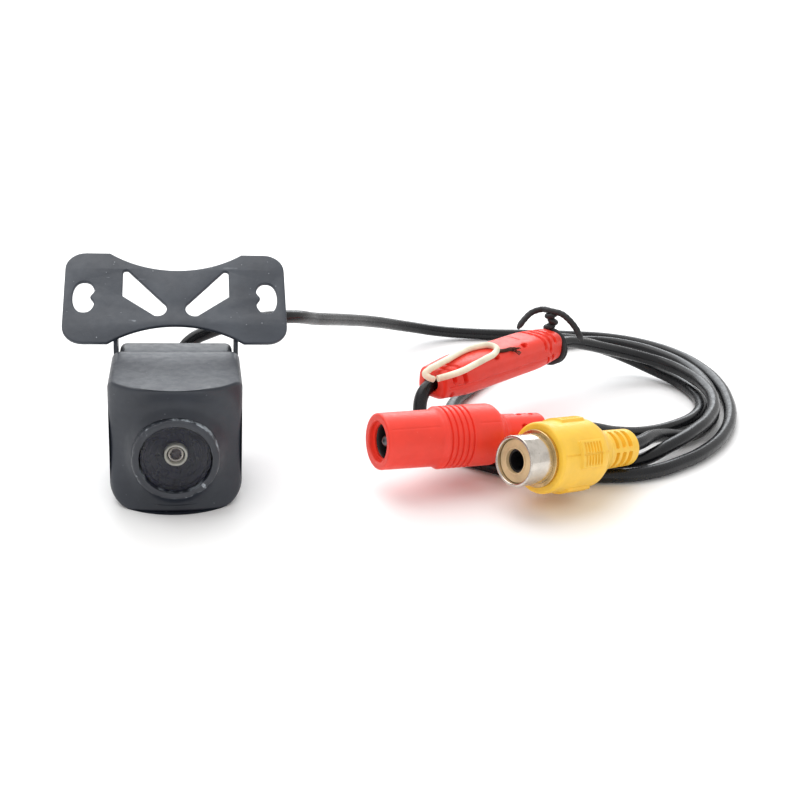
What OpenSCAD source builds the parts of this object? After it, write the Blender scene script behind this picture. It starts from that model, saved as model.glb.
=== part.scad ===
// Reversing camera: fisheye camera head on a slotted tilt bracket, with its
// lead, power and video splitter, DC power jack and RCA video jack.
// Millimetres, Z up, lens facing -Y, origin on the floor under the middle
// of the head and bracket.

/* [Camera head] */
// Width of the front shell
head_w = 20.7; // [19.5:0.1:22]
// Height of the front shell
head_h = 20.8; // [20:0.1:22]
// Depth of the front shell at its middle
front_d = 19; // [18.5:0.1:20]
// Depth of the front shell at its sides
side_d = 13.5; // [12:0.1:15]
// Depth of the rear shell
rear_d = 5.1; // [4.6:0.1:6]
// Wall thickness of both shells
wall = 1.2; // [0.9:0.1:1.4]
// Radius of the front shell's bottom edges
bottom_r = 3.2; // [1.5:0.1:4]
// Radius of the front shell's top edges
top_r = 1.4; // [0.8:0.1:2]

/* [Lens] */
// Height of the lens axis above the floor
lens_z = 9.6; // [9:0.1:10.5]
// Outer radius of the raised ring round the lens
bezel_r = 6.7; // [6.3:0.1:7]
// Radius of the front glass
glass_r = 5.45; // [5.2:0.05:5.5]
// How far the front glass bulges
glass_bulge = 1.2; // [0.8:0.1:1.6]

/* [Bracket] */
// Width of the slotted plate
plate_w = 36.8; // [34:0.2:40]
// Height of the slotted plate along its slope
plate_h = 18.8; // [18:0.2:20]
// Thickness of the sheet metal
sheet = 0.7; // [0.5:0.1:0.7]
// Slope of the plate above the horizontal
plate_slope = 36; // [30:1:40]
// Height of the tilt axis above the floor
pivot_z = 11; // [10:0.5:12]
// How deep the top and bottom edges curve in
waist_in = 3.6; // [2:0.2:4]

/* [Cables] */
// Outer diameter of every lead
lead_dia = 2.5; // [2.2:0.1:2.5]
// Diameter of the option loop wire
loop_dia = 1.2; // [1:0.1:1.3]
// Diameter of the twist tie
tie_dia = 1.1; // [0.9:0.1:1.2]

/* [Connectors] */
// Diameter of the power jack's thick part
dc_dia = 10.6; // [10.4:0.1:11]
// Diameter of the power jack's barrel
dc_barrel_dia = 9.4; // [9:0.1:10]
// Length of the power jack
dc_len = 31.6; // [31:0.1:35]
// Diameter of the video jack's metal sleeve
rca_dia = 8.3; // [8.2:0.1:8.4]
// Diameter of the video jack's grip
rca_grip_dia = 11.8; // [11.4:0.1:12]
// Length of the video jack
rca_len = 27.8; // [27:0.1:30]
// Length of the splitter block
block_len = 36; // [35:0.5:36.5]
// Width of the splitter block
block_w = 7.8; // [7.4:0.1:8.6]
// Height of the splitter block
block_h = 6.6; // [6.4:0.1:7.2]

/* [Hidden] */

$fn = 64;
gap = 0.02;
cut = 0.5;

// Head: y = 0 in head coordinates is the plane where the two shells meet.
glass_base_y = -front_d + 0.2;
glass_apex_y = glass_base_y - glass_bulge;
plate_low = [0.2, 22];
plate_rear_y = plate_low[0] + plate_h * cos(plate_slope) + sheet / 2 * sin(plate_slope);
head_y = -(glass_apex_y + plate_rear_y) / 2;
bow_r = (pow(head_w / 2, 2) + pow(front_d - side_d, 2)) / (2 * (front_d - side_d));
rear_w = head_w - 2.2;
rear_low = 0.8;
rear_high = head_h - 0.2;
seal_y = 0.4;
cavity_front_y = -15;
opening_r = glass_r + 0.15;
gland_z = 11;
pivot_y = rear_d / 2;
ear_in = rear_w / 2 + 0.25;
pivot_shaft_r = 1;
pivot_head_r = 1.9;
board_w = 16.4;
board_mid_z = head_h / 2;
board_hole = 6.9;

// Route of the camera lead, from the gland to the splitter block.
camera_lead_route = [
  [0, 9.5, 11], [0, 12.4, 11.3], [0, 15.1, 12.5], [0.5, 17.2, 14.7], [2.3, 18.6, 17],
  [5.8, 19.5, 18.6], [10, 20.4, 19.7], [15, 21.8, 20.3], [20, 24.2, 20], [26.5, 33.5, 16.7],
  [34, 46, 12.6], [42, 57.6, 8.5], [51, 66.5, 4.6], [60, 70.8, 2.1], [70, 71.5, 1.3],
  [80, 71, 1.3], [90, 70.3, 1.3], [99.5, 68.5, 1.3], [107, 63.6, 1.3], [111.9, 56, 1.3],
  [113.9, 47, 1.3], [113.6, 37.5, 1.3], [111.6, 28.5, 1.3], [108.3, 19.6, 1.3],
  [103.5, 11.3, 1.3], [97.3, 4, 1.3], [89.7, -2, 1.3], [81, -6.4, 1.3], [73.5, -7.3, 1.3],
  [66, -6.3, 1.3], [58.5, -5.2, 1.3], [52.6, -1.2, 1.3], [48.6, 2.4, 1.5], [45.4, 4.8, 3],
  [43.3, 7, 5.6], [43, 9.2, 8.6], [44.6, 11.2, 10.9], [47.9, 13.3, 11.9]
];
// Route of the video lead, from the splitter block to the RCA jack.
rca_lead_route = [
  [74.9, 32.9, 11.7], [78.6, 35.8, 11.3], [82.8, 38.2, 10.1], [88, 40.6, 8.4],
  [93, 42.2, 6.9], [98, 42.4, 5.6], [102.4, 40.4, 4.8], [105.3, 35.6, 4.3],
  [106.3, 28, 4.1], [104.5, 20, 4], [100.5, 12.6, 4], [95, 6.2, 4], [88, 0.9, 3.2],
  [80.5, -2.3, 1.6], [72, -2.9, 1.3], [63.8, -2.5, 1.3], [57.8, -0.2, 1.3], [53.5, 5, 1.3],
  [51.2, 12, 1.3], [51.2, 20, 1.3], [54, 28.4, 1.3], [59, 36, 1.3], [64.8, 44, 1.3],
  [71, 52, 1.3], [78.5, 59.8, 1.3], [87, 64.8, 1.3], [95.5, 66.3, 1.3], [103.3, 62.8, 1.3],
  [108.4, 56, 1.3], [110.9, 48, 1.3], [111, 39.5, 1.3], [109.2, 30.8, 1.3],
  [106.1, 22.7, 1.3], [101.7, 15.4, 1.3], [95.6, 9.9, 1.4], [89.3, 5.9, 3.1],
  [84.2, 1.1, 4.9], [80.7, -2.7, 5.5], [77, -5.6, 5.9]
];
// Route of the power lead, from the splitter block to the DC jack.
dc_lead_route = [
  [73.1, 35.2, 11.7], [76.8, 38.1, 11.2], [81.2, 41.2, 9.9], [86, 44, 8.1], [91, 46, 6.1],
  [96.2, 46.6, 4], [100.8, 45, 2.3], [104.2, 40.8, 1.5], [105.8, 34, 1.3],
  [104.8, 26.4, 1.3], [101, 19.8, 1.3], [95, 14.9, 1.3], [87.5, 11.2, 1.5], [80, 7.2, 3.2],
  [73.5, 3.5, 5.6], [68, 0.8, 6.9], [62.4, -1, 7.3]
];
// Route of the option loop wire, out of the block's left end and back to its bare joint.
option_loop_route = [
  [45, 8.5, 13.4], [44, 8.2, 13.9], [43.4, 8.4, 14.5], [44, 8.8, 15], [45.7, 10.2, 15.4],
  [48.2, 12.8, 15.6], [51, 16.1, 15.7], [53.8, 18.9, 15.7], [56.3, 20.4, 15.7],
  [58, 20.6, 15.7], [59, 19.6, 15.5], [58.4, 18, 15.1], [55.9, 15.4, 14.8],
  [53.2, 12.7, 14.6], [50.3, 9.9, 14.4], [47.7, 8.5, 14.1], [45.6, 8, 13.7]
];
// Route of the bare twisted strands past the loop's joint.
strand_route = [
  [59.3, 18.8, 15.2], [60.7, 19.7, 15], [62.1, 20.7, 14.9], [63.3, 20.5, 14.8],
  [63.8, 19.7, 14.5]
];
// Bow of the twist tie in block coordinates, from its left end over the knot to its right.
tie_bow_route = [
  [31.4, 4.9, 2.8], [33.4, 5, 4.2], [35.4, 4.7, 5.4], [36.8, 3.2, 6.2], [36.4, 0.9, 6.5],
  [36.8, -1.5, 6.4], [37.1, -3.3, 5.5], [38.1, -4.6, 3.7], [39.9, -5, 1]
];
// Band of the twist tie: its place along the block, its drop and its middle radius.
tie_band_x = 36.7;
tie_band_drop = 0.7;
tie_band_r = 3.75;

// DC jack: its front face, its heading and its bores.
dc_front = [32.3, -10.2, 9.5];
dc_heading = 17;
dc_dip = 4;
dc_recess_r = 3.3;
dc_socket_r = 2.8;
dc_socket_depth = 10;
dc_pin_r = 1.05;
dc_rings_from = 10.9;
dc_ring_pitch = 1.03;
dc_neck_r = 3.25;

// RCA jack: its front face, its heading and its bores.
rca_front = [52.95, -19, 9.6];
rca_heading = 29.2;
rca_dip = 7.6;
rca_sleeve_out = 4.9;
rca_socket_r = 1.6;
rca_socket_len = 8;
rca_grip_from = 5.6;
rca_neck_r = 3.2;
pad_w = 4.6;
pad_roll = 22;

// Splitter block: the middle of its left end and its heading.
block_left = [45.8, 11.6, 11.7];
block_heading = 38.5;

// ---- helpers ----

function unit(v) = v / norm(v);
function turn_right(d) = [d[1], -d[0]];
function on_plate(v) = plate_low + v * [cos(plate_slope), sin(plate_slope)];

// The two tangent points on the outside of corners a and b, each [x, y, radius].
function edge_between(a, b) =
  let (
    from = [a[0], a[1]],
    to = [b[0], b[1]],
    d = unit(to - from),
    lean = asin((a[2] - b[2]) / norm(to - from)),
    n = turn_right(d) * cos(lean) + d * sin(lean)
  )
  [from + a[2] * n, to + b[2] * n];

// A convex outline with a round at each corner; corners run counter-clockwise.
module rounded_outline(corners) {
  last = len(corners) - 1;
  polygon([
    for (i = [0:last])
      for (p = edge_between(corners[i], corners[i == last ? 0 : i + 1])) p
  ]);
  for (c = corners) translate([c[0], c[1]]) circle(r = c[2]);
}

// The head's outline seen from the front, from low to high, with its edge rounds.
module head_outline(width, low, high, low_r, high_r) {
  rounded_outline([
    [-width / 2 + low_r, low + low_r, low_r],
    [width / 2 - low_r, low + low_r, low_r],
    [width / 2 - high_r, high - high_r, high_r],
    [-width / 2 + high_r, high - high_r, high_r]
  ]);
}

// Extrudes a front-view outline along Y, from near to far.
module along_y(near, far) {
  translate([0, far, 0]) rotate([90, 0, 0]) linear_extrude(far - near) children();
}

// A cylinder along Y at [x, z], from near to far.
module rod_y(at, r, near, far) {
  translate([at[0], near, at[1]]) rotate([-90, 0, 0]) cylinder(r = r, h = far - near);
}

// A ring along Y on the lens axis.
module lens_ring(r_out, r_in, near, far) {
  difference() {
    rod_y([0, lens_z], r_out, near, far);
    rod_y([0, lens_z], r_in, near - cut, far + cut);
  }
}

// A block centred on [x, z] in front view, from near to far.
module slab_y(at, size, near, far) {
  translate([at[0] - size[0] / 2, near, at[1] - size[1] / 2]) {
    cube([size[0], far - near, size[1]]);
  }
}

// Everything on the camera head is drawn in head coordinates.
module at_head() {
  translate([0, head_y, 0]) children();
}

// The four places where the case screws pass.
module at_case_screws() {
  for (x = [-board_hole, board_hole]) {
    for (z = [-board_hole, board_hole]) translate([x, 0, board_mid_z + z]) children();
  }
}

// Both ends of the tilt axis; the children are drawn with their axis along Z, outwards.
module at_pivots() {
  for (side = [-1, 1]) {
    translate([0, pivot_y, pivot_z]) rotate([0, side * 90, 0]) children();
  }
}

// The directions that carry a round section along a route without twisting it.
function route_direction(p, i) = unit(p[min(i + 1, len(p) - 1)] - p[max(i - 1, 0)]);
function carried(n, t) = unit(n - (n * t) * t);
function route_normals(p) = [
  for (
    i = 0, n = carried([0, 0, 1], route_direction(p, 0));
    i < len(p);
    i = i + 1, n = i < len(p) ? carried(n, route_direction(p, i)) : n
  ) n
];

// A round cord of the given diameter, swept along a route with one ring a point.
module cord(route, diameter) {
  sides = 8;
  rings = len(route);
  normals = route_normals(route);
  points = [
    for (i = [0:rings - 1])
      let (n = normals[i], b = cross(route_direction(route, i), n))
      for (k = [0:sides - 1])
        route[i] + diameter / 2 * (cos(360 * k / sides) * n + sin(360 * k / sides) * b)
  ];
  faces = [
    [for (k = [0:sides - 1]) k],
    [for (k = [sides - 1:-1:0]) (rings - 1) * sides + k],
    for (i = [0:rings - 2])
      for (k = [0:sides - 1])
        let (a = i * sides + k, b = i * sides + (k + 1) % sides)
        [a, a + sides, b + sides, b]
  ];
  polyhedron(points, faces, convexity = 8);
}

// ---- camera head ----

// The front shell's outline from above: straight sides and a bowed front.
module bowed_plan(inset) {
  intersection() {
    translate([-head_w / 2 + inset, -front_d + inset]) {
      square([head_w - 2 * inset, front_d - inset + cut]);
    }
    union() {
      translate([0, bow_r - front_d]) circle(r = bow_r - inset);
      translate([-head_w / 2, bow_r - front_d]) square([head_w, front_d - bow_r + 2 * cut]);
    }
  }
}

module bowed_block(inset, far) {
  intersection() {
    translate([0, 0, -cut]) linear_extrude(head_h + 2 * cut) bowed_plan(inset);
    along_y(-front_d - cut, far) {
      head_outline(
        head_w - 2 * inset, inset, head_h - inset,
        bottom_r - inset / 2, top_r - inset / 2
      );
    }
  }
}

// The shallow valley round the lens ring.
module lens_valley() {
  translate([0, -front_d - 2.2, lens_z]) rotate([90, 0, 0]) {
    rotate_extrude() translate([8.6, 0]) circle(r = 3.2);
  }
}

module front_shell() {
  color("#2e3238") at_head() difference() {
    union() {
      difference() {
        bowed_block(0, 0);
        bowed_block(wall, cut);
        lens_valley();
      }
      intersection() {
        bowed_block(0, 0);
        union() {
          rod_y([0, lens_z], bezel_r + 0.9, -front_d + 1.8, cavity_front_y + 1.2);
          at_case_screws() rod_y([0, 0], 1.5, -front_d, -6.2);
        }
      }
    }
    rod_y([0, lens_z], bezel_r + gap, -front_d - 3, -front_d + 2);
    rod_y([0, lens_z], opening_r + 0.2, -front_d - 1, cavity_front_y + 2);
    at_case_screws() rod_y([0, 0], 0.62, -13, 0);
  }
}

module rear_shell() {
  color("#2e3238") at_head() difference() {
    union() {
      difference() {
        along_y(seal_y, rear_d) head_outline(rear_w, rear_low, rear_high, 2.6, 1.2);
        along_y(seal_y - cut, rear_d - wall) {
          head_outline(rear_w - 2 * wall, rear_low + wall, rear_high - wall, 1.6, 0.8);
        }
      }
      at_case_screws() rod_y([0, 0], 1.5, -0.58, rear_d - wall);
      at_pivots() translate([0, 0, 6.3]) cylinder(r = 2, h = rear_w / 2 - 6.4);
    }
    rod_y([0, gland_z], 1.92, 0, rear_d + cut);
    at_case_screws() rod_y([0, 0], 0.75, -1, rear_d + cut);
    at_case_screws() rod_y([0, 0], 1.35, rear_d - 0.7, rear_d + cut);
    at_pivots() translate([0, 0, 6.8]) cylinder(r = 1.5 + gap, h = 4);
  }
}

module housing_seal() {
  color("#141414") at_head() difference() {
    along_y(gap, seal_y - gap) head_outline(rear_w - 0.4, 1.1, rear_high - 0.3, 2.4, 1);
    along_y(-cut, seal_y + cut) {
      head_outline(rear_w - 2.4, rear_low + wall, rear_high - wall, 1.6, 0.8);
    }
    at_case_screws() rod_y([0, 0], 1.55, -cut, 1);
  }
}

module lens_bezel() {
  color("#33373d") at_head() difference() {
    union() {
      rod_y([0, lens_z], bezel_r, -front_d + 0.3, -front_d + 1.95);
      translate([0, -front_d + 0.3, lens_z]) rotate([90, 0, 0]) {
        cylinder(r1 = bezel_r, r2 = bezel_r - 0.4, h = 0.5);
      }
    }
    rod_y([0, lens_z], opening_r, -front_d - 1, -front_d + 3);
  }
}

module front_glass() {
  dome_r = (pow(glass_r, 2) + pow(glass_bulge, 2)) / (2 * glass_bulge);
  color("#20263a") at_head() {
    intersection() {
      translate([0, glass_base_y + dome_r - glass_bulge, lens_z]) sphere(r = dome_r, $fn = 96);
      rod_y([0, lens_z], glass_r, glass_apex_y - 1, glass_base_y + 0.6);
    }
  }
}

module lens_seal() {
  color("#111111") at_head() {
    lens_ring(opening_r + 0.18, 4.62, -15.8, -15.2);
  }
}

module lens_barrel() {
  color("#1b1b1d") at_head() difference() {
    union() {
      rod_y([0, lens_z], glass_r, glass_base_y + 0.62, -15.82);
      rod_y([0, lens_z], 4.5, -15.9, -8.7);
    }
    translate([0, glass_base_y + 0.6, lens_z]) rotate([-90, 0, 0]) {
      cylinder(r1 = 4.9, r2 = 3.25, h = 1.6);
    }
    rod_y([0, lens_z], 3.25, glass_base_y + 2, -8);
  }
}

module aperture_ring() {
  color("#d8d0b8") at_head() difference() {
    union() {
      lens_ring(3.2, 1.7, -16.6, -16.1);
      lens_ring(1.8, 1.1, -17.2, -16.1);
    }
  }
}

module second_lens() {
  color("#6f8094") at_head() rod_y([0, lens_z], 3.2, -15.6, -13.8);
}

module rear_lens() {
  color("#6f8094") at_head() rod_y([0, lens_z], 3.2, -11.4, -9.4);
}

module lens_holder() {
  color("#1d1d1f") at_head() difference() {
    union() {
      rod_y([0, lens_z], 5.7, -13, -8.1);
      slab_y([0, lens_z], [10.4, 10.4], -8.2, -6.22);
    }
    rod_y([0, lens_z], 4.5 + gap, -14, -8.6);
    rod_y([0, lens_z], 3, -9, -7);
    slab_y([0, lens_z], [7.4, 7.4], -7.6, -6);
    for (s = [-1, 1]) rod_y([s * 4.4, lens_z + s * 4.4], 0.45, -7.9, -6);
  }
}

module ir_filter() {
  color("#7fb7b0") at_head() slab_y([0, lens_z], [6.8, 6.8], -7.58, -7.2);
}

module image_sensor() {
  color("#3a4150") at_head() slab_y([0, lens_z], [6.2, 5.4], -7.05, -6.22);
}

module board(near, far) {
  difference() {
    slab_y([0, board_mid_z], [board_w, board_w], near, far);
    at_case_screws() rod_y([0, 0], 0.68, near - cut, far + cut);
  }
}

module sensor_board() {
  color("#1f5a37") at_head() difference() {
    board(-6.2, -5.2);
    for (s = [-1, 1]) rod_y([s * 4.4, lens_z + s * 4.4], 0.45, -7, -5);
  }
}

module holder_screws() {
  color("silver") at_head() for (s = [-1, 1]) {
    rod_y([s * 4.4, lens_z + s * 4.4], 0.43, -7.7, -5.1);
    rod_y([s * 4.4, lens_z + s * 4.4], 0.9, -5.18, -4.7);
  }
}

module processor_board() {
  color("#1f5a37") at_head() board(-1.6, -0.6);
}

module board_spacers() {
  color("#c9a74b") at_head() at_case_screws() difference() {
    rod_y([0, 0], 1.25, -5.18, -1.62);
    rod_y([0, 0], 0.68, -6, -1);
  }
}

module board_header() {
  color("#1a1a1a") at_head() slab_y([0, 16.2], [8, 2.2], -5.18, -1.62);
}

module wire_plug() {
  color("#efece2") at_head() slab_y([0, gland_z], [5.6, 3], -0.58, 1.6);
}

module inner_wires() {
  color("#b53a2a") at_head() for (x = [-1.2, -0.4, 0.4, 1.2]) {
    rod_y([x, gland_z], 0.32, 1.62, 2.96);
  }
}

module case_screws() {
  color("#7d8187") at_head() at_case_screws() difference() {
    union() {
      rod_y([0, 0], 0.6, -11, rear_d - 0.6);
      rod_y([0, 0], 1.25, rear_d - 0.68, rear_d - 0.02);
    }
    for (a = [0, 90]) {
      rotate([0, a, 0]) translate([-0.8, rear_d - 0.35, -0.13]) cube([1.6, 1, 0.26]);
    }
  }
}

module cable_gland() {
  gland_end = camera_lead_route[0][1] - head_y;
  color("#17181a") at_head() {
    rod_y([0, gland_z], 2.6, 2.98, rear_d - wall - gap);
    rod_y([0, gland_z], 1.9, 3.2, rear_d + 0.2);
    rod_y([0, gland_z], 2.7, rear_d + gap, rear_d + 0.7);
    translate([0, rear_d + 0.65, gland_z]) rotate([-90, 0, 0]) {
      cylinder(r1 = 2.3, r2 = 1.6, h = gland_end - rear_d - 0.65);
    }
  }
}

// ---- tilt bracket ----

module pivot_inserts() {
  color("#c9a54c") at_head() at_pivots() difference() {
    translate([0, 0, 6.85]) cylinder(r = 1.5, h = rear_w / 2 - 6.9);
    translate([0, 0, 6]) cylinder(r = pivot_shaft_r + 0.03, h = 5);
  }
}

module friction_washers() {
  color("#d9d6cc") at_head() at_pivots() difference() {
    translate([0, 0, rear_w / 2 + 0.03]) cylinder(r = 2.1, h = ear_in - rear_w / 2 - 0.08);
    translate([0, 0, rear_w / 2 - cut]) cylinder(r = pivot_shaft_r + 0.05, h = 2);
  }
}

module pivot_screws() {
  head_at = ear_in + sheet + 0.05;
  color("#8c9096") at_head() at_pivots() difference() {
    union() {
      translate([0, 0, 7]) cylinder(r = pivot_shaft_r, h = head_at - 7 + 0.05);
      translate([0, 0, head_at]) cylinder(r = pivot_head_r, h = 0.6);
    }
    for (a = [0, 90]) {
      rotate([0, 0, a]) translate([-1, -0.16, head_at + 0.3]) cube([2, 0.32, 1]);
    }
  }
}

// A kidney-shaped screw slot; its flat bump faces the middle of the plate.
module kidney_slot() {
  difference() {
    union() {
      for (v = [-1.35, 1.35]) translate([0, v]) circle(r = 1.85);
      translate([-1.85, -1.35]) square([3.7, 2.7]);
    }
    translate([-2.55, 0]) circle(r = 1.15);
  }
}

// Points along a corner's round, from one heading to another.
function corner_arc(c, from, to) = [
  for (i = [0:6])
    let (a = from + (to - from) * i / 6) [c[0] + c[2] * cos(a), c[1] + c[2] * sin(a)]
];

// The slanted window on the +X side of the plate: a triangle with round corners.
module plate_window() {
  polygon(concat(
    corner_arc([3.1, 7.1, 1.55], 128, 287),
    corner_arc([8.35, 9.9, 0.5], -63, 0),
    corner_arc([8.3, 14.6, 0.55], 0, 128)
  ));
}

module plate_outline() {
  corner_r = 3.4;
  waist_half = 11.1;
  waist_r = (pow(waist_half, 2) + pow(waist_in, 2)) / (2 * waist_in);
  difference() {
    rounded_outline([
      [-plate_w / 2 + corner_r, corner_r, corner_r],
      [plate_w / 2 - corner_r, corner_r, corner_r],
      [plate_w / 2 - corner_r, plate_h - corner_r, corner_r],
      [-plate_w / 2 + corner_r, plate_h - corner_r, corner_r]
    ]);
    translate([0, waist_in - waist_r]) circle(r = waist_r, $fn = 128);
    translate([0, plate_h - waist_in + waist_r]) circle(r = waist_r, $fn = 128);
    for (side = [0, 1]) mirror([side, 0]) {
      plate_window();
      translate([plate_w / 2 - 3.3, plate_h / 2]) kidney_slot();
    }
  }
}

// One ear, seen from the side, from the tilt axis up into the plate.
module ear_outline() {
  rounded_outline([
    [pivot_y, pivot_z, 2.2],
    [on_plate(7.4)[0], on_plate(7.4)[1] - 0.1, 0.1],
    [on_plate(2.9)[0], on_plate(2.9)[1] - 0.1, 0.1]
  ]);
}

module mounting_bracket() {
  color("#2b313b") at_head() {
    translate([0, plate_low[0], plate_low[1]]) rotate([plate_slope, 0, 0]) {
      translate([0, 0, -sheet / 2]) linear_extrude(sheet) plate_outline();
    }
    for (side = [0, 1]) mirror([side, 0, 0]) difference() {
      translate([ear_in, 0, 0]) rotate([90, 0, 90]) linear_extrude(sheet) ear_outline();
      translate([ear_in - cut, pivot_y, pivot_z]) rotate([0, 90, 0]) {
        cylinder(r = pivot_shaft_r + 0.06, h = sheet + 2 * cut);
      }
    }
  }
}

// Children are drawn along X from the middle of the block's left end.
module at_block() {
  translate(block_left) rotate([0, 0, block_heading]) children();
}

// ---- cables ----

module camera_lead() {
  color("#1a1b1d") cord(camera_lead_route, lead_dia);
}

module rca_lead() {
  color("#1a1b1d") cord(rca_lead_route, lead_dia);
}

module dc_lead() {
  color("#1a1b1d") cord(dc_lead_route, lead_dia);
}

module option_loop() {
  color("#e9e2cc") cord(option_loop_route, loop_dia);
}

module option_loop_strands() {
  color("#3a2a22") cord(strand_route, 0.9);
}

module twist_tie() {
  knot_z = tie_bow_route[4][2] - tie_dia / 2 - 0.05;
  ring_top = tie_band_r + tie_dia / 2 - tie_band_drop;
  color("#151515") at_block() {
    cord(tie_bow_route, tie_dia);
    translate([tie_band_x, 0, -tie_band_drop]) rotate([0, 90, 0]) {
      rotate_extrude() translate([tie_band_r, 0]) circle(r = tie_dia / 2);
    }
    translate([tie_band_x, 0.6, ring_top + 0.05]) cylinder(r = 0.9, h = knot_z - ring_top - 0.2);
  }
}

// ---- splitter block ----

// A tapered outline along the block, from [0, 0] to [block_len, 0].
module block_outline(half, left_half, right_half) {
  round_r = 1.2;
  rounded_outline([
    [round_r, -left_half + round_r, round_r],
    [8, -half + round_r, round_r],
    [27, -half + round_r, round_r],
    [block_len - round_r, -right_half + round_r, round_r],
    [block_len - round_r, right_half - round_r, round_r],
    [27, half - round_r, round_r],
    [8, half - round_r, round_r],
    [round_r, left_half - round_r, round_r]
  ]);
}

// The block's cross-section, a rectangle with large rounds.
module block_section() {
  round_r = 2.2;
  rounded_outline([
    [-block_w / 2 + round_r, -block_h / 2 + round_r, round_r],
    [block_w / 2 - round_r, -block_h / 2 + round_r, round_r],
    [block_w / 2 - round_r, block_h / 2 - round_r, round_r],
    [-block_w / 2 + round_r, block_h / 2 - round_r, round_r]
  ]);
}

module splitter_block() {
  color("#e2382c") at_block() difference() {
    intersection() {
      translate([0, 0, -block_h]) linear_extrude(2 * block_h) {
        block_outline(block_w / 2, 2.9, 3);
      }
      translate([0, block_w, 0]) rotate([90, 0, 0]) linear_extrude(2 * block_w) {
        block_outline(block_h / 2, 2.4, 2.6);
      }
      translate([-cut, 0, 0]) rotate([90, 0, 90]) linear_extrude(block_len + 2 * cut) {
        block_section();
      }
    }
    translate([-cut, -1.5, -block_h]) cube([2.6 + cut, 3, block_h + 1.6]);
    for (x = [28.6, 30.6, 32.6]) {
      translate([x, -block_w, block_h / 2 - 0.8]) cube([0.7, 2 * block_w, 2]);
      translate([x, -block_w, -block_h / 2 - 1.2]) cube([0.7, 2 * block_w, 2]);
    }
    for (x = [4.6, 7.2]) {
      for (side = [-1, 1]) {
        translate([x, side * block_w / 2 - 0.6, -0.6]) cube([0.9, 1.2, 2.4]);
      }
    }
  }
}

// ---- DC power jack ----

module at_dc_jack() {
  translate(dc_front) rotate([0, 0, dc_heading]) rotate([0, 90 + dc_dip, 0]) children();
}

module dc_jack_body() {
  thick_r = dc_dia / 2;
  barrel_r = dc_barrel_dia / 2;
  color("#e2382c") at_dc_jack() difference() {
    rotate_extrude() polygon([
      [0, 0], [barrel_r - 0.4, 0], [barrel_r, 0.4], [barrel_r + 0.1, 9.9], [thick_r, 10.8],
      for (i = [0:4])
        for (p = [[0, 0.1], [-0.35, 0.25], [-0.35, 0.55], [0, 0.7]])
          [thick_r + p[0], dc_rings_from + i * dc_ring_pitch + p[1]],
      [thick_r, 20.9], [thick_r - 0.8, 21.9], [dc_neck_r + 0.2, 23.3], [dc_neck_r, 23.9],
      [dc_neck_r - 0.1, dc_len - 0.5], [dc_neck_r - 0.6, dc_len], [0, dc_len]
    ]);
    translate([0, 0, -cut]) cylinder(r = dc_recess_r, h = dc_socket_depth + 2 + cut);
    for (z = [26.4, 28.9]) {
      for (side = [-1, 1]) {
        translate([-1.1, side * 3 - 0.8, z]) cube([2.2, 1.6, 0.9]);
        translate([side * 3 - 0.8, -1.1, z]) cube([1.6, 2.2, 0.9]);
      }
    }
  }
}

module dc_jack_liner() {
  color("#16181a") at_dc_jack() difference() {
    translate([0, 0, 0.9]) cylinder(r = dc_recess_r - gap, h = dc_socket_depth + 1.05);
    translate([0, 0, 0]) cylinder(r = dc_socket_r, h = dc_socket_depth);
  }
}

module dc_jack_contact() {
  color("#c8ccd0") at_dc_jack() difference() {
    translate([0, 0, 5]) cylinder(r = dc_socket_r - gap, h = dc_socket_depth - 5 - gap);
    translate([0, 0, 4]) cylinder(r = dc_socket_r - 0.3, h = dc_socket_depth);
  }
}

module dc_jack_pin() {
  color("#d6d9dc") at_dc_jack() {
    translate([0, 0, 2]) cylinder(r = dc_pin_r, h = dc_socket_depth - 2 - gap);
    translate([0, 0, 2]) sphere(r = dc_pin_r);
  }
}

// ---- RCA video jack ----

module at_rca_jack() {
  translate(rca_front) rotate([0, 0, rca_heading]) rotate([0, 90 + rca_dip, 0]) children();
}

module rca_jack_body() {
  grip_r = rca_grip_dia / 2;
  color("#f5c23a") at_rca_jack() difference() {
    union() {
      rotate_extrude() polygon([
        [0, rca_grip_from], [grip_r - 0.5, rca_grip_from], [grip_r, rca_grip_from + 0.5],
        [grip_r, 15.8], [grip_r - 0.4, 16.8], [rca_neck_r + 0.7, 19.6], [rca_neck_r + 0.1, 20.4],
        [rca_neck_r, rca_len - 0.5], [rca_neck_r - 0.5, rca_len], [0, rca_len]
      ]);
      for (a = [0, 90, 180, 270]) rotate([0, 0, a - pad_roll]) {
        translate([grip_r - 0.6, -pad_w / 2, 9.7]) cube([0.95, pad_w, 5.4]);
      }
    }
    translate([0, 0, rca_grip_from - cut]) cylinder(r = rca_dia / 2 + gap, h = 8.4 + cut);
    for (z = [21.4, 23.1, 24.8]) {
      for (side = [-1, 1]) {
        translate([side * 3 - 0.8, -1.5, z]) cube([1.6, 3, 0.7]);
      }
    }
  }
}

module rca_base_ring() {
  color("#b99a66") at_rca_jack() difference() {
    translate([0, 0, rca_sleeve_out]) cylinder(r = 4.75, h = rca_grip_from - rca_sleeve_out - gap);
    translate([0, 0, rca_sleeve_out - cut]) cylinder(r = rca_dia / 2 + gap, h = 2);
  }
}

module rca_sleeve() {
  color("#cfd3d6") at_rca_jack() difference() {
    union() {
      cylinder(r = rca_dia / 2, h = rca_sleeve_out);
      cylinder(r = rca_dia / 2 - 0.1, h = 13.9);
    }
    translate([0, 0, -cut]) cylinder(r = rca_dia / 2 - 0.55, h = 15);
  }
}

module rca_insulator() {
  color("#cdb07f") at_rca_jack() difference() {
    translate([0, 0, 0.6]) cylinder(r = rca_dia / 2 - 0.55 - gap, h = 13);
    translate([0, 0, 0]) cylinder(r = 1.95, h = rca_socket_len + 2);
  }
}

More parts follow.
